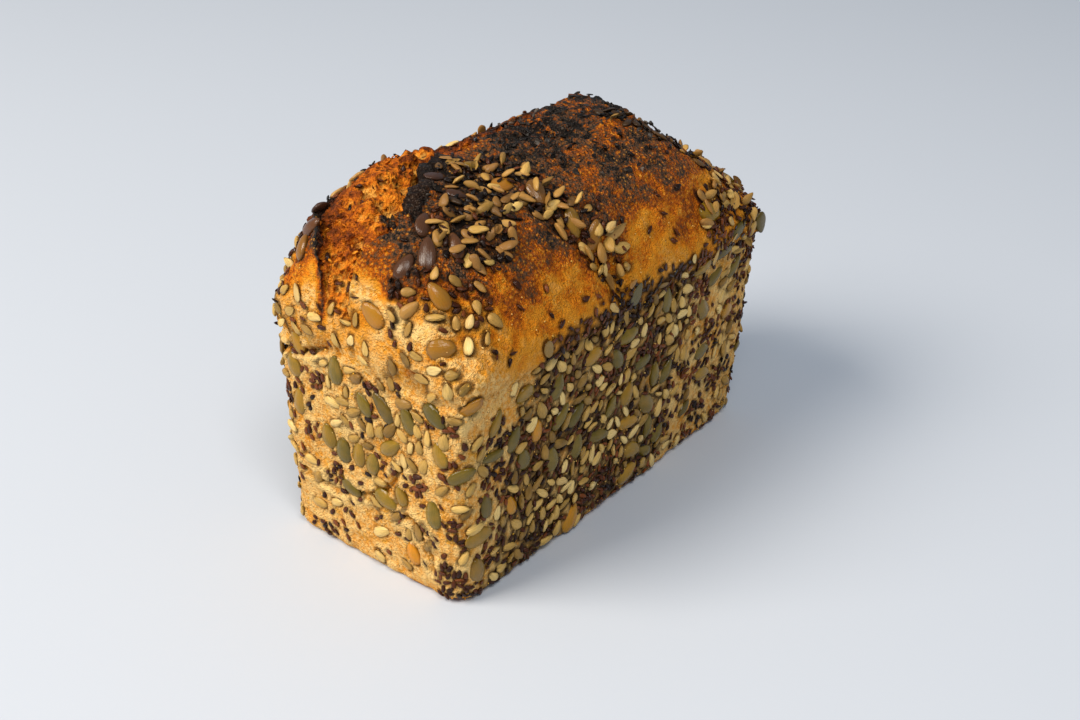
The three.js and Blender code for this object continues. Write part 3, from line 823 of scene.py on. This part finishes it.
def fold_relief(points):
    """Valleys along the folds of the near end, with a bulge beside each."""
    x, y, z = points.T
    relief = 0
    for fold in folds:
        distance, _ = to_line(x, z, fold.line)
        valley = fold.deep * hump(distance, fold.wide)
        bulge = 0.5 * fold.deep * hump(distance - 2.2 * fold.wide, 1.6 * fold.wide)
        relief = relief + bulge - valley
    return np.where((y < -105) & (z < 118), relief * smooth(-y, 105, 110), 0)


def fine_relief(points, torn, char, clear):
    """How far the crust stands out, in millimetres, beyond the solid's smooth form."""
    z = points[:, 2]
    raised = smooth(z, tin.depth - 6, tin.depth + 6)
    on_dome = dome_relief(points, char) * (1 - torn) + tear_relief(points, torn) * torn
    relief = wall_relief(points) * (1 - raised) + raised * on_dome
    ring = 0.35 * hump(clear - 0.5, 0.8)
    relief = relief * (0.45 + 0.55 * smooth(clear, -1, 2)) + ring - 0.25 * smooth(-clear, -0.2, 1)
    above_table = 0.5 + 0.5 * smooth(z, 0.2, 4)
    return (relief + fold_relief(points)) * above_table


def ear_overhang(points, rise, on_top):
    """The ragged lip of the slash leans out over the torn side."""
    x, y, z = points.T
    middle, half = slash_at(y)
    past = x - middle - half
    ragged = 1 + 0.8 * noise(points * np.array([0, 1, 0]), 4.1, 2.2)
    reach = 2.6 * ragged * on_top * slash_open(y, rise) * smooth(-y, 0, 40)
    lean = np.where(past >= 0, np.exp(-np.maximum(past, 0) / 5), np.exp(np.minimum(past, 0) / 0.7))
    tucked = np.where(past < 0, 0.5 * hump(past + 2, 1.6), 0)
    return reach * (lean - tucked)


def keep_inside(points, margin=3.0):
    """Eases points that would come out of the solid's box back into it, from margin on."""
    for axis in range(3):
        low, high = CAD_BOX[0][axis] / MM, CAD_BOX[1][axis] / MM
        over = points[:, axis] - (high - margin)
        eased = high - margin + margin * np.tanh(over / margin)
        points[:, axis] = np.where(over > 0, eased, points[:, axis])
        if axis < 2:
            under = (low + margin) - points[:, axis]
            eased = low + margin - margin * np.tanh(under / margin)
            points[:, axis] = np.where(under > 0, eased, points[:, axis])
    points[:, 2] = np.maximum(points[:, 2], 0)
    return points


# The crust's marks, kept on its points: gaps holds the painted shade between seeds and in the folds.
CRUST_MARKS = ("bake", "torn", "char", "gaps", "relief")


def new_mesh(name, points, faces):
    mesh = bpy.data.meshes.new(name)
    mesh.from_pydata((np.asarray(points) * MM).tolist(), [], faces)
    return mesh


def add_object(name, mesh):
    obj = bpy.data.objects.new(name, mesh)
    bpy.context.scene.collection.objects.link(obj)
    return obj


def make_crust():
    """One closed mesh, with the marks of its baking and the painted shade of its gaps kept on its points.
    """
    points, quads, rise, on_top = crust_grid()
    clear = clear_of_seeds(points)
    bake, torn, char, gaps = crust_marks(points, rise, on_top, clear)
    normals = normals_of(points, quads)
    relief = fine_relief(points, torn, char, clear)
    finished = points + normals * relief[:, None]
    finished[:, 0] -= ear_overhang(points, rise, on_top)
    finished = keep_inside(finished)

    edge = np.flatnonzero(points[:, 2] < 1e-6)
    angle = np.arctan2(points[edge, 1] / tin.length, points[edge, 0] / tin.width)
    foot = [int(edge[n]) for n in np.argsort(-angle)]
    mesh = new_mesh("crust", finished, quads.tolist() + [foot])
    for name, values in zip(CRUST_MARKS, (bake, torn, char, gaps, relief)):
        mesh.attributes.new(name, "FLOAT", "POINT").data.foreach_set("value", values.astype(np.float32))
    mesh.shade_smooth()
    return add_object("crust", mesh)


# ---- node trees ----------------------------------------------------------------------


class Wire:
    """An output socket. Arithmetic on it adds Math nodes to its tree."""

    def __init__(self, nodes, socket):
        self.nodes = nodes
        self.socket = socket

    def math(self, operation, *inputs):
        return self.nodes.add("ShaderNodeMath", {"operation": operation}, dict(enumerate(inputs)))

    def __add__(self, other):
        return self.math("ADD", self, other)

    def __radd__(self, other):
        return self.math("ADD", other, self)

    def __sub__(self, other):
        return self.math("SUBTRACT", self, other)

    def __rsub__(self, other):
        return self.math("SUBTRACT", other, self)

    def __mul__(self, other):
        return self.math("MULTIPLY", self, other)

    def __rmul__(self, other):
        return self.math("MULTIPLY", other, self)

    def __truediv__(self, other):
        return self.math("DIVIDE", self, other)

    def __rtruediv__(self, other):
        return self.math("DIVIDE", other, self)

    def __pow__(self, other):
        return self.math("POWER", self, other)

    def __abs__(self):
        return self.math("ABSOLUTE", self)

    def at_least(self, low):
        return self.math("MAXIMUM", self, low)

    def clamp(self):
        return self.nodes.add("ShaderNodeClamp", {}, {"Value": self})

    def step(self, start, end):
        """0 below start, 1 above end, smooth between them."""
        return self.nodes.add("ShaderNodeMapRange", {"interpolation_type": "SMOOTHSTEP"},
                              {"Value": self, "From Min": start, "From Max": end})


class Nodes:
    """Adds nodes to one tree: the settings first, then the sockets' values or links."""

    def __init__(self, tree):
        self.tree = tree

    def add(self, kind, settings=None, sockets=None, out=0):
        node = self.tree.nodes.new(kind)
        for name, value in (settings or {}).items():
            if name == "stops":
                self.set_stops(node.color_ramp, value)
            else:
                setattr(node, name, value)
        for name, value in (sockets or {}).items():
            socket = node.inputs[name]
            if isinstance(value, Wire):
                self.tree.links.new(value.socket, socket)
            else:
                socket.default_value = value
        return Wire(self, node.outputs[out]) if node.outputs else node

    def set_stops(self, ramp, stops):
        while len(ramp.elements) < len(stops):
            ramp.elements.new(1)
        for element, (place, colour) in zip(ramp.elements, stops):
            element.position = place
            element.color = (*colour, 1)

    def mix(self, factor, a, b):
        """A colour between a and b. Sockets 6 and 7 of Mix are its two colours."""
        ends = {6: a, 7: b}
        colours = {k: v if isinstance(v, Wire) else (*v, 1) for k, v in ends.items()}
        return self.add("ShaderNodeMix", {"data_type": "RGBA"}, {0: factor, **colours}, out=2)

    def attribute(self, name):
        return self.add("ShaderNodeAttribute", {"attribute_name": name}, out="Fac")

    def noise(self, place, scale, detail=2.0, rough=0.5):
        return self.add("ShaderNodeTexNoise", {}, {"Vector": place, "Scale": scale, "Detail": detail,
                                                   "Roughness": rough}, out="Fac")

    def voronoi(self, place, scale, out):
        return self.add("ShaderNodeTexVoronoi", {}, {"Vector": place, "Scale": float(scale)}, out=out)

    def ramp(self, value, stops):
        return self.add("ShaderNodeValToRGB", {"stops": stops}, {"Fac": value})


def new_material(name):
    material = bpy.data.materials.new(name)
    material.use_nodes = True
    tree = material.node_tree
    tree.nodes.clear()
    return material, Nodes(tree)


def finish_surface(nodes, colour, roughness, bump_height, bump_distance, constants):
    """Ends a material in one Principled shader. Constants stay on its own sockets."""
    normal = nodes.add("ShaderNodeBump", {}, {"Height": bump_height, "Distance": bump_distance,
                                              "Strength": constants.pop("bump", 1.0)})
    shader = nodes.add("ShaderNodeBsdfPrincipled", {}, {"Base Color": colour, "Roughness": roughness,
                                                        "Normal": normal, **constants})
    nodes.add("ShaderNodeOutputMaterial", {}, {"Surface": shader})


# ---- materials -----------------------------------------------------------------------

BAKED = [
    (0.00, (0.93, 0.59, 0.205)), (0.12, (0.82, 0.365, 0.066)), (0.25, (0.80, 0.300, 0.016)),
    (0.37, (0.74, 0.205, 0.004)), (0.50, (0.49, 0.101, 0.003)), (0.62, (0.27, 0.069, 0.009)),
    (0.75, (0.17, 0.076, 0.030)), (0.88, (0.065, 0.042, 0.028)), (1.00, (0.014, 0.011, 0.009)),
]
CORNMEAL = (0.80, 0.385, 0.028)
FLOUR = (0.95, 0.63, 0.235)
BRAN = (0.20, 0.08, 0.02)
# Pale dots of the dome: partly blisters of the crust, partly painted glints.
BLISTER_AND_GLINT = (0.86, 0.38, 0.05)
# Painted shade, near black, for the gaps between seeds and the folds of the dough.
GAP_SHADE = (0.014, 0.006, 0.003)
# Painted shade for the pores of the torn crumb.
PORE_SHADE = (0.20, 0.040, 0.003)
# Char: near black, and pale grey that is partly ash, partly painted sheen.
SOOT_AND_SHEEN = [(0.008, 0.007, 0.006), (0.160, 0.115, 0.085)]
TORN_CRUMB = [
    (0.05, (0.84, 0.395, 0.070)), (0.22, (0.84, 0.280, 0.018)), (0.40, (0.68, 0.165, 0.006)),
    (0.60, (0.32, 0.065, 0.006)), (0.85, (0.05, 0.019, 0.009)),
]
# How fine each pattern of the crust is: the scale of its texture, in lumps per metre.
fine = Sizes(blotch=85, golden=150, pale=160, grain=330, pit=330, fleck=430, crumb=480, pebble=560,
             cell=720, sand=1100, dot=1300)


def crust_material():
    """Pale dough that browns with the bake, torn crumb, char, and painted shade in the gaps between the
    seeds.
    """
    material, nodes = new_material("baked_crust")
    place = nodes.add("ShaderNodeTexCoord", {}, {}, out="Object")
    bake, torn, char, gaps, relief = [nodes.attribute(name) for name in CRUST_MARKS]

    blotch = nodes.noise(place, fine.blotch, 3) - 0.5
    grain = nodes.noise(place, fine.grain, 3, 0.65) - 0.5
    sand = nodes.noise(place, fine.sand, 2, 0.6) - 0.5
    pebble = nodes.noise(place, fine.pebble, 3, 0.7) - 0.5
    cells = nodes.voronoi(place, fine.cell, "Distance")
    lot = nodes.voronoi(place, fine.cell, "Color")
    lot = nodes.add("ShaderNodeSeparateColor", {}, {"Color": lot})
    high = bake.step(0.22, 0.48)
    dark = bake.step(0.42, 0.66)

    shade = bake + blotch * (0.42 + 0.2 * high) + grain * (0.17 + 0.38 * high + 0.3 * dark)
    # The cells term is darker between the pebbles of the bump and paler on their tops: painted shade and
    # light.
    shade = shade + sand * (0.1 + 0.25 * high + 0.2 * dark) + (cells - 0.4) * 0.36 * high
    shade = shade + (pebble * 0.6 - (lot - 0.5) * 0.16) * (0.45 * high + 0.55 * dark)
    shade = shade - relief * 0.08
    baked = nodes.ramp(shade.clamp(), BAKED)

    doughy = 1 - bake.step(0.18, 0.32)
    golden = nodes.noise(place, fine.golden, 2, 0.5)
    baked = nodes.mix(doughy * golden.step(0.54, 0.7) * 0.45, baked, CORNMEAL)
    flecks = nodes.noise(place, fine.fleck, 2, 0.65)
    baked = nodes.mix(doughy * flecks.step(0.64, 0.7) * 0.6, baked, CORNMEAL)
    pale_spots = nodes.noise(place, fine.pale, 3, 0.5)
    crumbs = nodes.noise(place, fine.crumb, 3, 0.6)
    floury = (pale_spots * 0.5 + crumbs).step(0.64, 0.88) * (1 - bake.step(0.16, 0.27))
    baked = nodes.mix(floury * 0.7, baked, FLOUR)
    dots = nodes.noise(place, fine.dot, 1, 0.5)
    baked = nodes.mix(doughy * dots.step(0.68, 0.74) * 0.85, baked, BRAN)
    # Pale dots on the baked dome: partly blisters of the crust, partly painted glints.
    blisters_and_glints = lot.step(0.66, 0.74) * (1 - cells.step(0.25, 0.45)) * high * (1 - char)
    baked = nodes.mix(blisters_and_glints * 0.55, baked, BLISTER_AND_GLINT)

    holes = 1 - nodes.voronoi(place, fine.pit, "Distance").step(0.1, 0.55)
    tips = relief * 0.13 + grain * 1.1 + blotch * 0.6 + sand * 0.3 + bake - 0.02
    ripped = nodes.ramp(tips.clamp(), TORN_CRUMB)
    # Painted shade in the pores of the torn crumb.
    ripped = nodes.mix(holes * grain.step(-0.2, 0.05) * 0.9, ripped, PORE_SHADE)
    colour = nodes.mix(torn, baked, ripped)
    burn = (char + grain * 1.1 + sand * 0.8 - 0.05).step(0.35, 0.7)
    # Char is near black with pale grey flecks: partly ash, partly painted sheen.
    soot_and_sheen = nodes.mix(sand.step(0.03, 0.16) * 0.7, *SOOT_AND_SHEEN)
    colour = nodes.mix(burn * char.step(0.02, 0.2) * 0.97, colour, soot_and_sheen)
    # Painted shade: near black in the gaps between the seeds and along the folds of the near end.
    colour = nodes.mix(gaps, colour, GAP_SHADE)

    roughness = 0.84 - 0.38 * high + sand * 0.4
    pebbles = (1 - cells) * (0.5 + 0.7 * high)
    height = pebbles + grain * (1.4 + 2.4 * high) + sand * (1.8 + high) - torn * holes * 2.4
    height = height + crumbs * doughy * 1.7 + pebble * high * 2
    finish_surface(nodes, colour, roughness, height, 0.001, {"Specular IOR Level": 0.14, "bump": 1.0})
    return material


def seed_material(name, skins, toasted, burnt, streaks, roughness, specular):
    """A seed's skin: two colours by its tint, darker by its toast, streaked along it."""
    material, nodes = new_material(name)
    place = nodes.add("ShaderNodeTexCoord", {}, {}, out="Object")
    tint, toast, along, edge = [nodes.attribute(n) for n in ("tint", "toast", "along", "edge")]
    mottle = nodes.noise(place, 260, 3, 0.6) - 0.5
    speckle = nodes.noise(place, 1300, 2, 0.6) - 0.5
    colour = nodes.ramp((tint + mottle * 0.5).clamp(), skins)
    lines = nodes.add("ShaderNodeTexNoise", {"noise_dimensions": "2D"}, {
        "Vector": nodes.add("ShaderNodeCombineXYZ", {}, {"X": edge * 9 + tint * 31, "Y": along * 0.7}),
        "Scale": 1.0, "Detail": 1.0}, out="Fac") - 0.5
    # Darker round each seed's outline: painted shade where it meets the crust, and on pumpkin seeds also
    # their own darker rim.
    rim_and_outline_shade = (edge * edge + along * along).step(0.6, 1.0)
    colour = nodes.mix((lines * streaks + rim_and_outline_shade * 0.4).clamp(), colour,
                       tuple(0.4 * c for c in skins[0][1]))
    colour = nodes.mix((toast * 1.6 + mottle * 0.3).clamp(), colour, toasted)
    colour = nodes.mix((toast * 2 - 1 + mottle * 0.4).clamp(), colour, burnt)
    finish_surface(nodes, colour, roughness + speckle * 0.3, lines * 0.8 + speckle * 0.5, 0.0003,
                   {"Specular IOR Level": specular, "bump": 0.5})
    return material


# ---- seeds: Geometry Nodes -----------------------------------------------------------


def seed_tree():
    """Puts one seed shape on every point, turned and sized by the point's attributes."""
    tree = bpy.data.node_groups.new("seeds_on_spots", "GeometryNodeTree")
    face = tree.interface
    face.new_socket("Spots", in_out="INPUT", socket_type="NodeSocketGeometry")
    for name in ("Length", "Width", "Thickness", "Taper", "Tip", "Ridge", "Curl", "Dents",
                 "Dent Size", "Random Seed"):
        face.new_socket(name, in_out="INPUT", socket_type="NodeSocketFloat")
    for name in ("Sides", "Rings"):
        face.new_socket(name, in_out="INPUT", socket_type="NodeSocketInt")
    face.new_socket("Finish", in_out="INPUT", socket_type="NodeSocketMaterial")
    face.new_socket("Seeds", in_out="OUTPUT", socket_type="NodeSocketGeometry")
    nodes = Nodes(tree)
    inputs = tree.nodes.new("NodeGroupInput")
    given = {socket.name: Wire(nodes, socket) for socket in inputs.outputs if socket.name}

    ball = nodes.add("GeometryNodeMeshUVSphere", {}, {
        "Segments": given["Sides"], "Rings": given["Rings"], "Radius": 1.0})
    here = nodes.add("GeometryNodeInputPosition")
    x, y, z = [nodes.add("ShaderNodeSeparateXYZ", {}, {"Vector": here}, out=axis) for axis in "XYZ"]
    for name, value in (("along", z), ("edge", x)):
        ball = nodes.add("GeometryNodeStoreNamedAttribute", {"data_type": "FLOAT", "domain": "POINT"},
                         {"Geometry": ball, "Name": name, "Value": value})
    pointed = z.at_least(0) ** 4 * given["Tip"]
    shaped = nodes.add("ShaderNodeCombineXYZ", {}, {
        "X": x * given["Width"] * 0.5 * (1 - given["Taper"] * z),
        "Y": y * given["Thickness"] * 0.5 * (1 + given["Ridge"] * (0.35 - abs(x)))
        + given["Curl"] * (x * x + 0.4 * z * z - 0.4),
        "Z": (z + pointed) * given["Length"] * 0.5 / (1 + 0.5 * given["Tip"]),
    })
    seed = nodes.add("GeometryNodeSetPosition", {}, {"Geometry": ball, "Position": shaped})
    turn = nodes.add("GeometryNodeInputNamedAttribute", {"data_type": "QUATERNION"}, {"Name": "turn"})
    size = nodes.add("GeometryNodeInputNamedAttribute", {"data_type": "FLOAT_VECTOR"}, {"Name": "size"})
    laid = nodes.add("GeometryNodeInstanceOnPoints", {}, {
        "Points": given["Spots"], "Instance": seed, "Rotation": turn, "Scale": size})
    laid = nodes.add("GeometryNodeRealizeInstances", {}, {"Geometry": laid})
    bumps = nodes.add("ShaderNodeTexNoise", {"noise_dimensions": "4D"}, {
        "Vector": here, "W": given["Random Seed"], "Scale": 1 / given["Dent Size"], "Detail": 1.0},
        out="Color")
    offset = nodes.add("ShaderNodeVectorMath", {"operation": "SUBTRACT"}, {0: bumps, 1: (0.5, 0.5, 0.5)})
    offset = nodes.add("ShaderNodeVectorMath", {"operation": "SCALE"}, {0: offset, "Scale": given["Dents"]})
    laid = nodes.add("GeometryNodeSetPosition", {}, {"Geometry": laid, "Offset": offset})
    laid = nodes.add("GeometryNodeSetShadeSmooth", {}, {"Geometry": laid})
    laid = nodes.add("GeometryNodeSetMaterial", {}, {"Geometry": laid, "Material": given["Finish"]})
    output = tree.nodes.new("NodeGroupOutput")
    tree.links.new(laid.socket, output.inputs["Seeds"])
    return tree


def tilted(seed, lean, rng):
    """Turns a seed a little out of its bed: more on the dome, where seeds lie in heaps."""
    heaped_up = seed.face == TOP
    loose = 1 if heaped_up else 0.35 if seed.face == NEAR else 0.7
    roll = rng.normal(0, lean * loose)
    pitch = rng.normal(0, 0.7 * lean * loose)
    lift = abs(rng.normal(0, 0.5)) if heaped_up else rng.normal(0, 0.1)
    side = np.cross(seed.out, seed.way)
    basis = Matrix(np.stack([side, seed.out, seed.way], axis=1).tolist())
    turned = basis @ Matrix.Rotation(roll, 3, "Z") @ Matrix.Rotation(pitch, 3, "X")
    return seed.centre + seed.out * lift, turned.to_quaternion()


def seeds_piece(name, seeds, kind, shape, material, first_random, toast_of, lean):
    """One mesh of all the seeds of a kind, each with its own turn, size, tint and toast."""
    rng = np.random.RandomState(first_random)
    placed = [tilted(seed, lean, rng) for seed in seeds]
    centres = np.array([centre for centre, _ in placed])
    mesh = new_mesh(name + "_spots", centres, [])
    turns = np.array([tuple(turn) for _, turn in placed])
    sizes = np.array([seed.size for seed in seeds])[:, None]
    sizes = sizes * rng.uniform(0.86, 1.12, (len(seeds), 3)) * rng.uniform(kind.least, 1, (len(seeds), 1))
    most_tint = 0.62 if kind is pumpkin else 0.95
    tint = rng.uniform(0, most_tint, len(seeds)) + 0.45 * noise(centres, 15, 5.3)
    tint = np.clip(tint, 0, 1)
    toast = toast_of(centres, rng)
    for n, seed in enumerate(seeds):
        if hasattr(seed, "tint"):
            tint[n], toast[n] = seed.tint, seed.toast
    for label, kind_of, values in (("turn", "QUATERNION", turns), ("size", "FLOAT_VECTOR", sizes),
                                   ("tint", "FLOAT", tint), ("toast", "FLOAT", toast)):
        key = "vector" if kind_of == "FLOAT_VECTOR" else "value"
        mesh.attributes.new(label, kind_of, "POINT").data.foreach_set(
            key, np.ascontiguousarray(values, dtype=np.float32).ravel())
    spots = add_object(name + "_spots", mesh)
    modifier = spots.modifiers.new("seeds", "NODES")
    modifier.node_group = SEED_TREE
    values = {"Length": kind.long * MM, "Width": kind.wide * MM, "Thickness": kind.thick * MM,
              "Finish": material, "Random Seed": float(first_random), "Taper": 0.2, "Tip": 0.15,
              "Ridge": 0.0, "Curl": 0.0, "Dents": 0.0004, "Dent Size": 0.003, **shape}
    for socket in SEED_TREE.interface.items_tree:
        if socket.in_out == "INPUT" and socket.name in values:
            modifier[socket.identifier] = values[socket.name]
    graph = bpy.context.evaluated_depsgraph_get()
    made = bpy.data.meshes.new_from_object(spots.evaluated_get(graph))
    made.name = name
    bpy.data.objects.remove(spots)
    corners = np.empty(3 * len(made.vertices), np.float32)
    made.vertices.foreach_get("co", corners)
    corners = keep_inside(corners.reshape(-1, 3) / MM, 1.5) * MM
    made.vertices.foreach_set("co", corners.astype(np.float32).ravel())
    return add_object(name, made)


def toast_of_seeds(centres, rng):
    """Seeds toast with height: hardly on the walls, dark on the crest and in the near heap."""
    x, y, z = centres.T
    height = smooth(z, 116, 160)
    burnt = 0.3 * hump(x - 12, 15) * hump(y + 62, 15) + 0.5 * charred(x, y, z)
    burnt = burnt + 0.35 * smooth(y, 20, 60) * height
    return np.clip(0.04 + 0.44 * height + burnt + rng.normal(0, 0.05 + 0.22 * height, len(z)), 0, 1)


def even_toast(centres, rng):
    """Crumbs and flakes are anything from pale to burnt."""
    return rng.uniform(0, 1, len(centres))


def mixed_toast(centres, rng):
    """In the heap some seeds are black and some only tan."""
    return 0.08 + 0.66 * rng.uniform(0, 1, len(centres)) ** 1.3


# ---- making the pieces ---------------------------------------------------------------

crust = make_crust()
crust.data.materials.append(crust_material())

SEED_TREE = seed_tree()
pumpkin_skin = seed_material(
    "pumpkin_seed_skin",
    [(0.0, (0.10, 0.072, 0.006)), (0.3, (0.19, 0.122, 0.009)), (0.55, (0.33, 0.175, 0.010)),
     (0.8, (0.46, 0.205, 0.007)), (1.0, (0.64, 0.235, 0.004))],
    toasted=(0.16, 0.058, 0.014), burnt=(0.050, 0.021, 0.011), streaks=0.45, roughness=0.22, specular=0.36)
kernel_skin = seed_material(
    "sunflower_kernel_skin",
    [(0.0, (0.20, 0.108, 0.020)), (0.35, (0.47, 0.275, 0.062)), (0.7, (0.70, 0.44, 0.12)),
     (1.0, (0.84, 0.60, 0.23))],
    toasted=(0.40, 0.190, 0.045), burnt=(0.040, 0.021, 0.009), streaks=1.9, roughness=0.32, specular=0.2)
flax_skin = seed_material(
    "flax_seed_skin",
    [(0.0, (0.014, 0.0045, 0.002)), (0.5, (0.064, 0.016, 0.005)), (1.0, (0.20, 0.054, 0.012))],
    toasted=(0.016, 0.007, 0.004), burnt=(0.007, 0.005, 0.004), streaks=0.1, roughness=0.2, specular=0.17)
husk_skin = seed_material(
    "husk_skin",
    [(0.0, (0.28, 0.17, 0.045)), (0.5, (0.44, 0.26, 0.065)), (1.0, (0.62, 0.42, 0.15))],
    toasted=(0.26, 0.12, 0.025), burnt=(0.03, 0.018, 0.010), streaks=0.8, roughness=0.5, specular=0.15)
char_skin = seed_material(
    "char_skin",
    [(0.0, (0.010, 0.009, 0.008)), (0.5, (0.040, 0.030, 0.023)), (1.0, (0.19, 0.145, 0.110))],
    toasted=(0.02, 0.013, 0.008), burnt=(0.012, 0.009, 0.007), streaks=0.1, roughness=0.4, specular=0.3)
crumb_skin = seed_material(
    "crumb_shred_skin",
    [(0.0, (0.80, 0.32, 0.025)), (0.5, (0.50, 0.135, 0.008)), (1.0, (0.17, 0.045, 0.008))],
    toasted=(0.50, 0.12, 0.006), burnt=(0.14, 0.04, 0.008), streaks=0.3, roughness=0.6, specular=0.1)
grit_skin = seed_material(
    "cornmeal_skin",
    [(0.0, (0.84, 0.44, 0.03)), (0.5, (0.90, 0.60, 0.20)), (1.0, (0.66, 0.25, 0.015))],
    toasted=(0.55, 0.20, 0.015), burnt=(0.14, 0.05, 0.02), streaks=0.1, roughness=0.5, specular=0.2)

pumpkin_shape = {"Thickness": 0.0037, "Taper": 0.16, "Tip": 0.12, "Ridge": 0.35, "Dents": 0.0007,
                 "Dent Size": 0.005, "Sides": 16, "Rings": 11}
kernel_shape = {"Length": 0.0086, "Width": 0.0048, "Taper": 0.2, "Tip": 0.12, "Ridge": 0.6,
                "Dents": 0.0011, "Sides": 10, "Rings": 8}
flax_shape = {"Tip": 0.25, "Dents": 0.0003, "Dent Size": 0.002, "Sides": 6, "Rings": 4}
husk_shape = {"Tip": 0.35, "Curl": 0.0026, "Dents": 0.0014, "Sides": 12, "Rings": 9}
flake_shape = {"Taper": 0.1, "Curl": 0.0011, "Dents": 0.0026, "Dent Size": 0.0022,
               "Sides": 9, "Rings": 7}
shred_shape = {"Tip": 0.5, "Curl": 0.0008, "Dents": 0.0022, "Dent Size": 0.002,
               "Sides": 7, "Rings": 7}
grit_shape = {"Taper": 0.1, "Tip": 0.0, "Dents": 0.0005, "Dent Size": 0.001,
              "Sides": 5, "Rings": 3}

# Name, seeds, kind, shape, skin, slot, toast, and how far the seeds lean out of their bed.
rows = [
    ("pumpkin_seeds", pumpkins, pumpkin, pumpkin_shape, pumpkin_skin, "pumpkin_seed", toast_of_seeds, 0.2),
    ("sunflower_kernels", kernels, sunflower, kernel_shape, kernel_skin, "sunflower_seed",
     toast_of_seeds, 0.4),
    ("heaped_kernels", heap, heaped, kernel_shape, kernel_skin, "sunflower_seed", mixed_toast, 0.6),
    ("flax_seeds", flaxes, flax, flax_shape, flax_skin, "flax_seed", toast_of_seeds, 0.6),
    ("open_husks", husks, husk, husk_shape, husk_skin, "sunflower_seed", mixed_toast, 0.9),
    ("char_flakes", flakes, flake, flake_shape, char_skin, "char", even_toast, 0.9),
    ("crumb_shreds", shreds, shred, shred_shape, crumb_skin, "crust", even_toast, 1.2),
    ("cornmeal_grits", grits, grit, grit_shape, grit_skin, "crust", toast_of_seeds, 0.3),
]
pieces = [(crust, "crust")]
for first_random, (name, seeds, kind, shape, material, slot, toast_of, lean) in enumerate(rows, 12):
    piece = seeds_piece(name, seeds, kind, shape, material, first_random, toast_of, lean)
    pieces.append((piece, slot))

# ---- stage, light and camera ---------------------------------------------------------


def make_floor():
    size = 3000
    mesh = new_mesh("floor", [(-size, -size, 0), (size, -size, 0), (size, size, 0), (-size, size, 0)],
                    [(0, 1, 2, 3)])
    material, nodes = new_material("pale_floor")
    shader = nodes.add("ShaderNodeBsdfPrincipled", {}, {
        "Base Color": (0.575, 0.61, 0.675, 1), "Roughness": 0.6, "Specular IOR Level": 0.2})
    nodes.add("ShaderNodeOutputMaterial", {}, {"Surface": shader})
    mesh.materials.append(material)
    floor = add_object("floor", mesh)


def add_area_light(name, place, target, width, watts, colour):
    light = bpy.data.lights.new(name, "AREA")
    light.shape = "SQUARE"
    light.size = width
    light.energy = watts
    light.color = colour
    obj = bpy.data.objects.new(name, light)
    obj.location = place
    obj.rotation_euler = (Vector(target) - Vector(place)).to_track_quat("-Z", "Y").to_euler()
    bpy.context.scene.collection.objects.link(obj)


def add_world(colour, strength):
    world = bpy.data.worlds.new("soft_sky")
    world.use_nodes = True
    background = world.node_tree.nodes["Background"]
    background.inputs["Color"].default_value = (*colour, 1)
    background.inputs["Strength"].default_value = strength
    bpy.context.scene.world = world


# The camera's place round the loaf, in degrees and millimetres.
camera = Sizes(azimuth=-37.2, elevation=30.1, roll=2.0, distance=706, target=(4.4, 1.2, 57),
               lens=50, sensor=36)


def add_camera():
    az, el, roll = (math.radians(v) for v in (camera.azimuth, camera.elevation, camera.roll))
    ahead = Vector((math.sin(az) * math.cos(el), math.cos(az) * math.cos(el), -math.sin(el)))
    right = Vector((math.cos(az), -math.sin(az), 0))
    up = right.cross(ahead)
    turned_right = right * math.cos(roll) + up * math.sin(roll)
    turned_up = up * math.cos(roll) - right * math.sin(roll)
    data = bpy.data.cameras.new("camera")
    data.lens = camera.lens
    data.sensor_width = camera.sensor
    data.clip_start = 0.01
    obj = bpy.data.objects.new("camera", data)
    turn = Matrix((turned_right, turned_up, -ahead)).transposed()
    place = Vector(camera.target) * MM - ahead * (camera.distance * MM)
    obj.matrix_world = Matrix.Translation(place) @ turn.to_4x4()
    bpy.context.scene.collection.objects.link(obj)
    bpy.context.scene.camera = obj


make_floor()
add_area_light("window", (-1.05, -1.90, 2.10), target=(0, 0, 0.06), width=1.55, watts=103,
               colour=(1.0, 0.92, 0.80))
add_area_light("ceiling", (1.05, -0.85, 2.20), target=(0, 0, 0.06), width=0.9, watts=28,
               colour=(1.0, 0.96, 0.90))
add_world(colour=(0.66, 0.82, 1.0), strength=0.32)
add_camera()
bpy.context.scene.view_settings.view_transform = "Standard"

# ---- hand-over to the frame ----------------------------------------------------------

for piece, slot in pieces:
    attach(piece, "root")
    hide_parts("loaf")
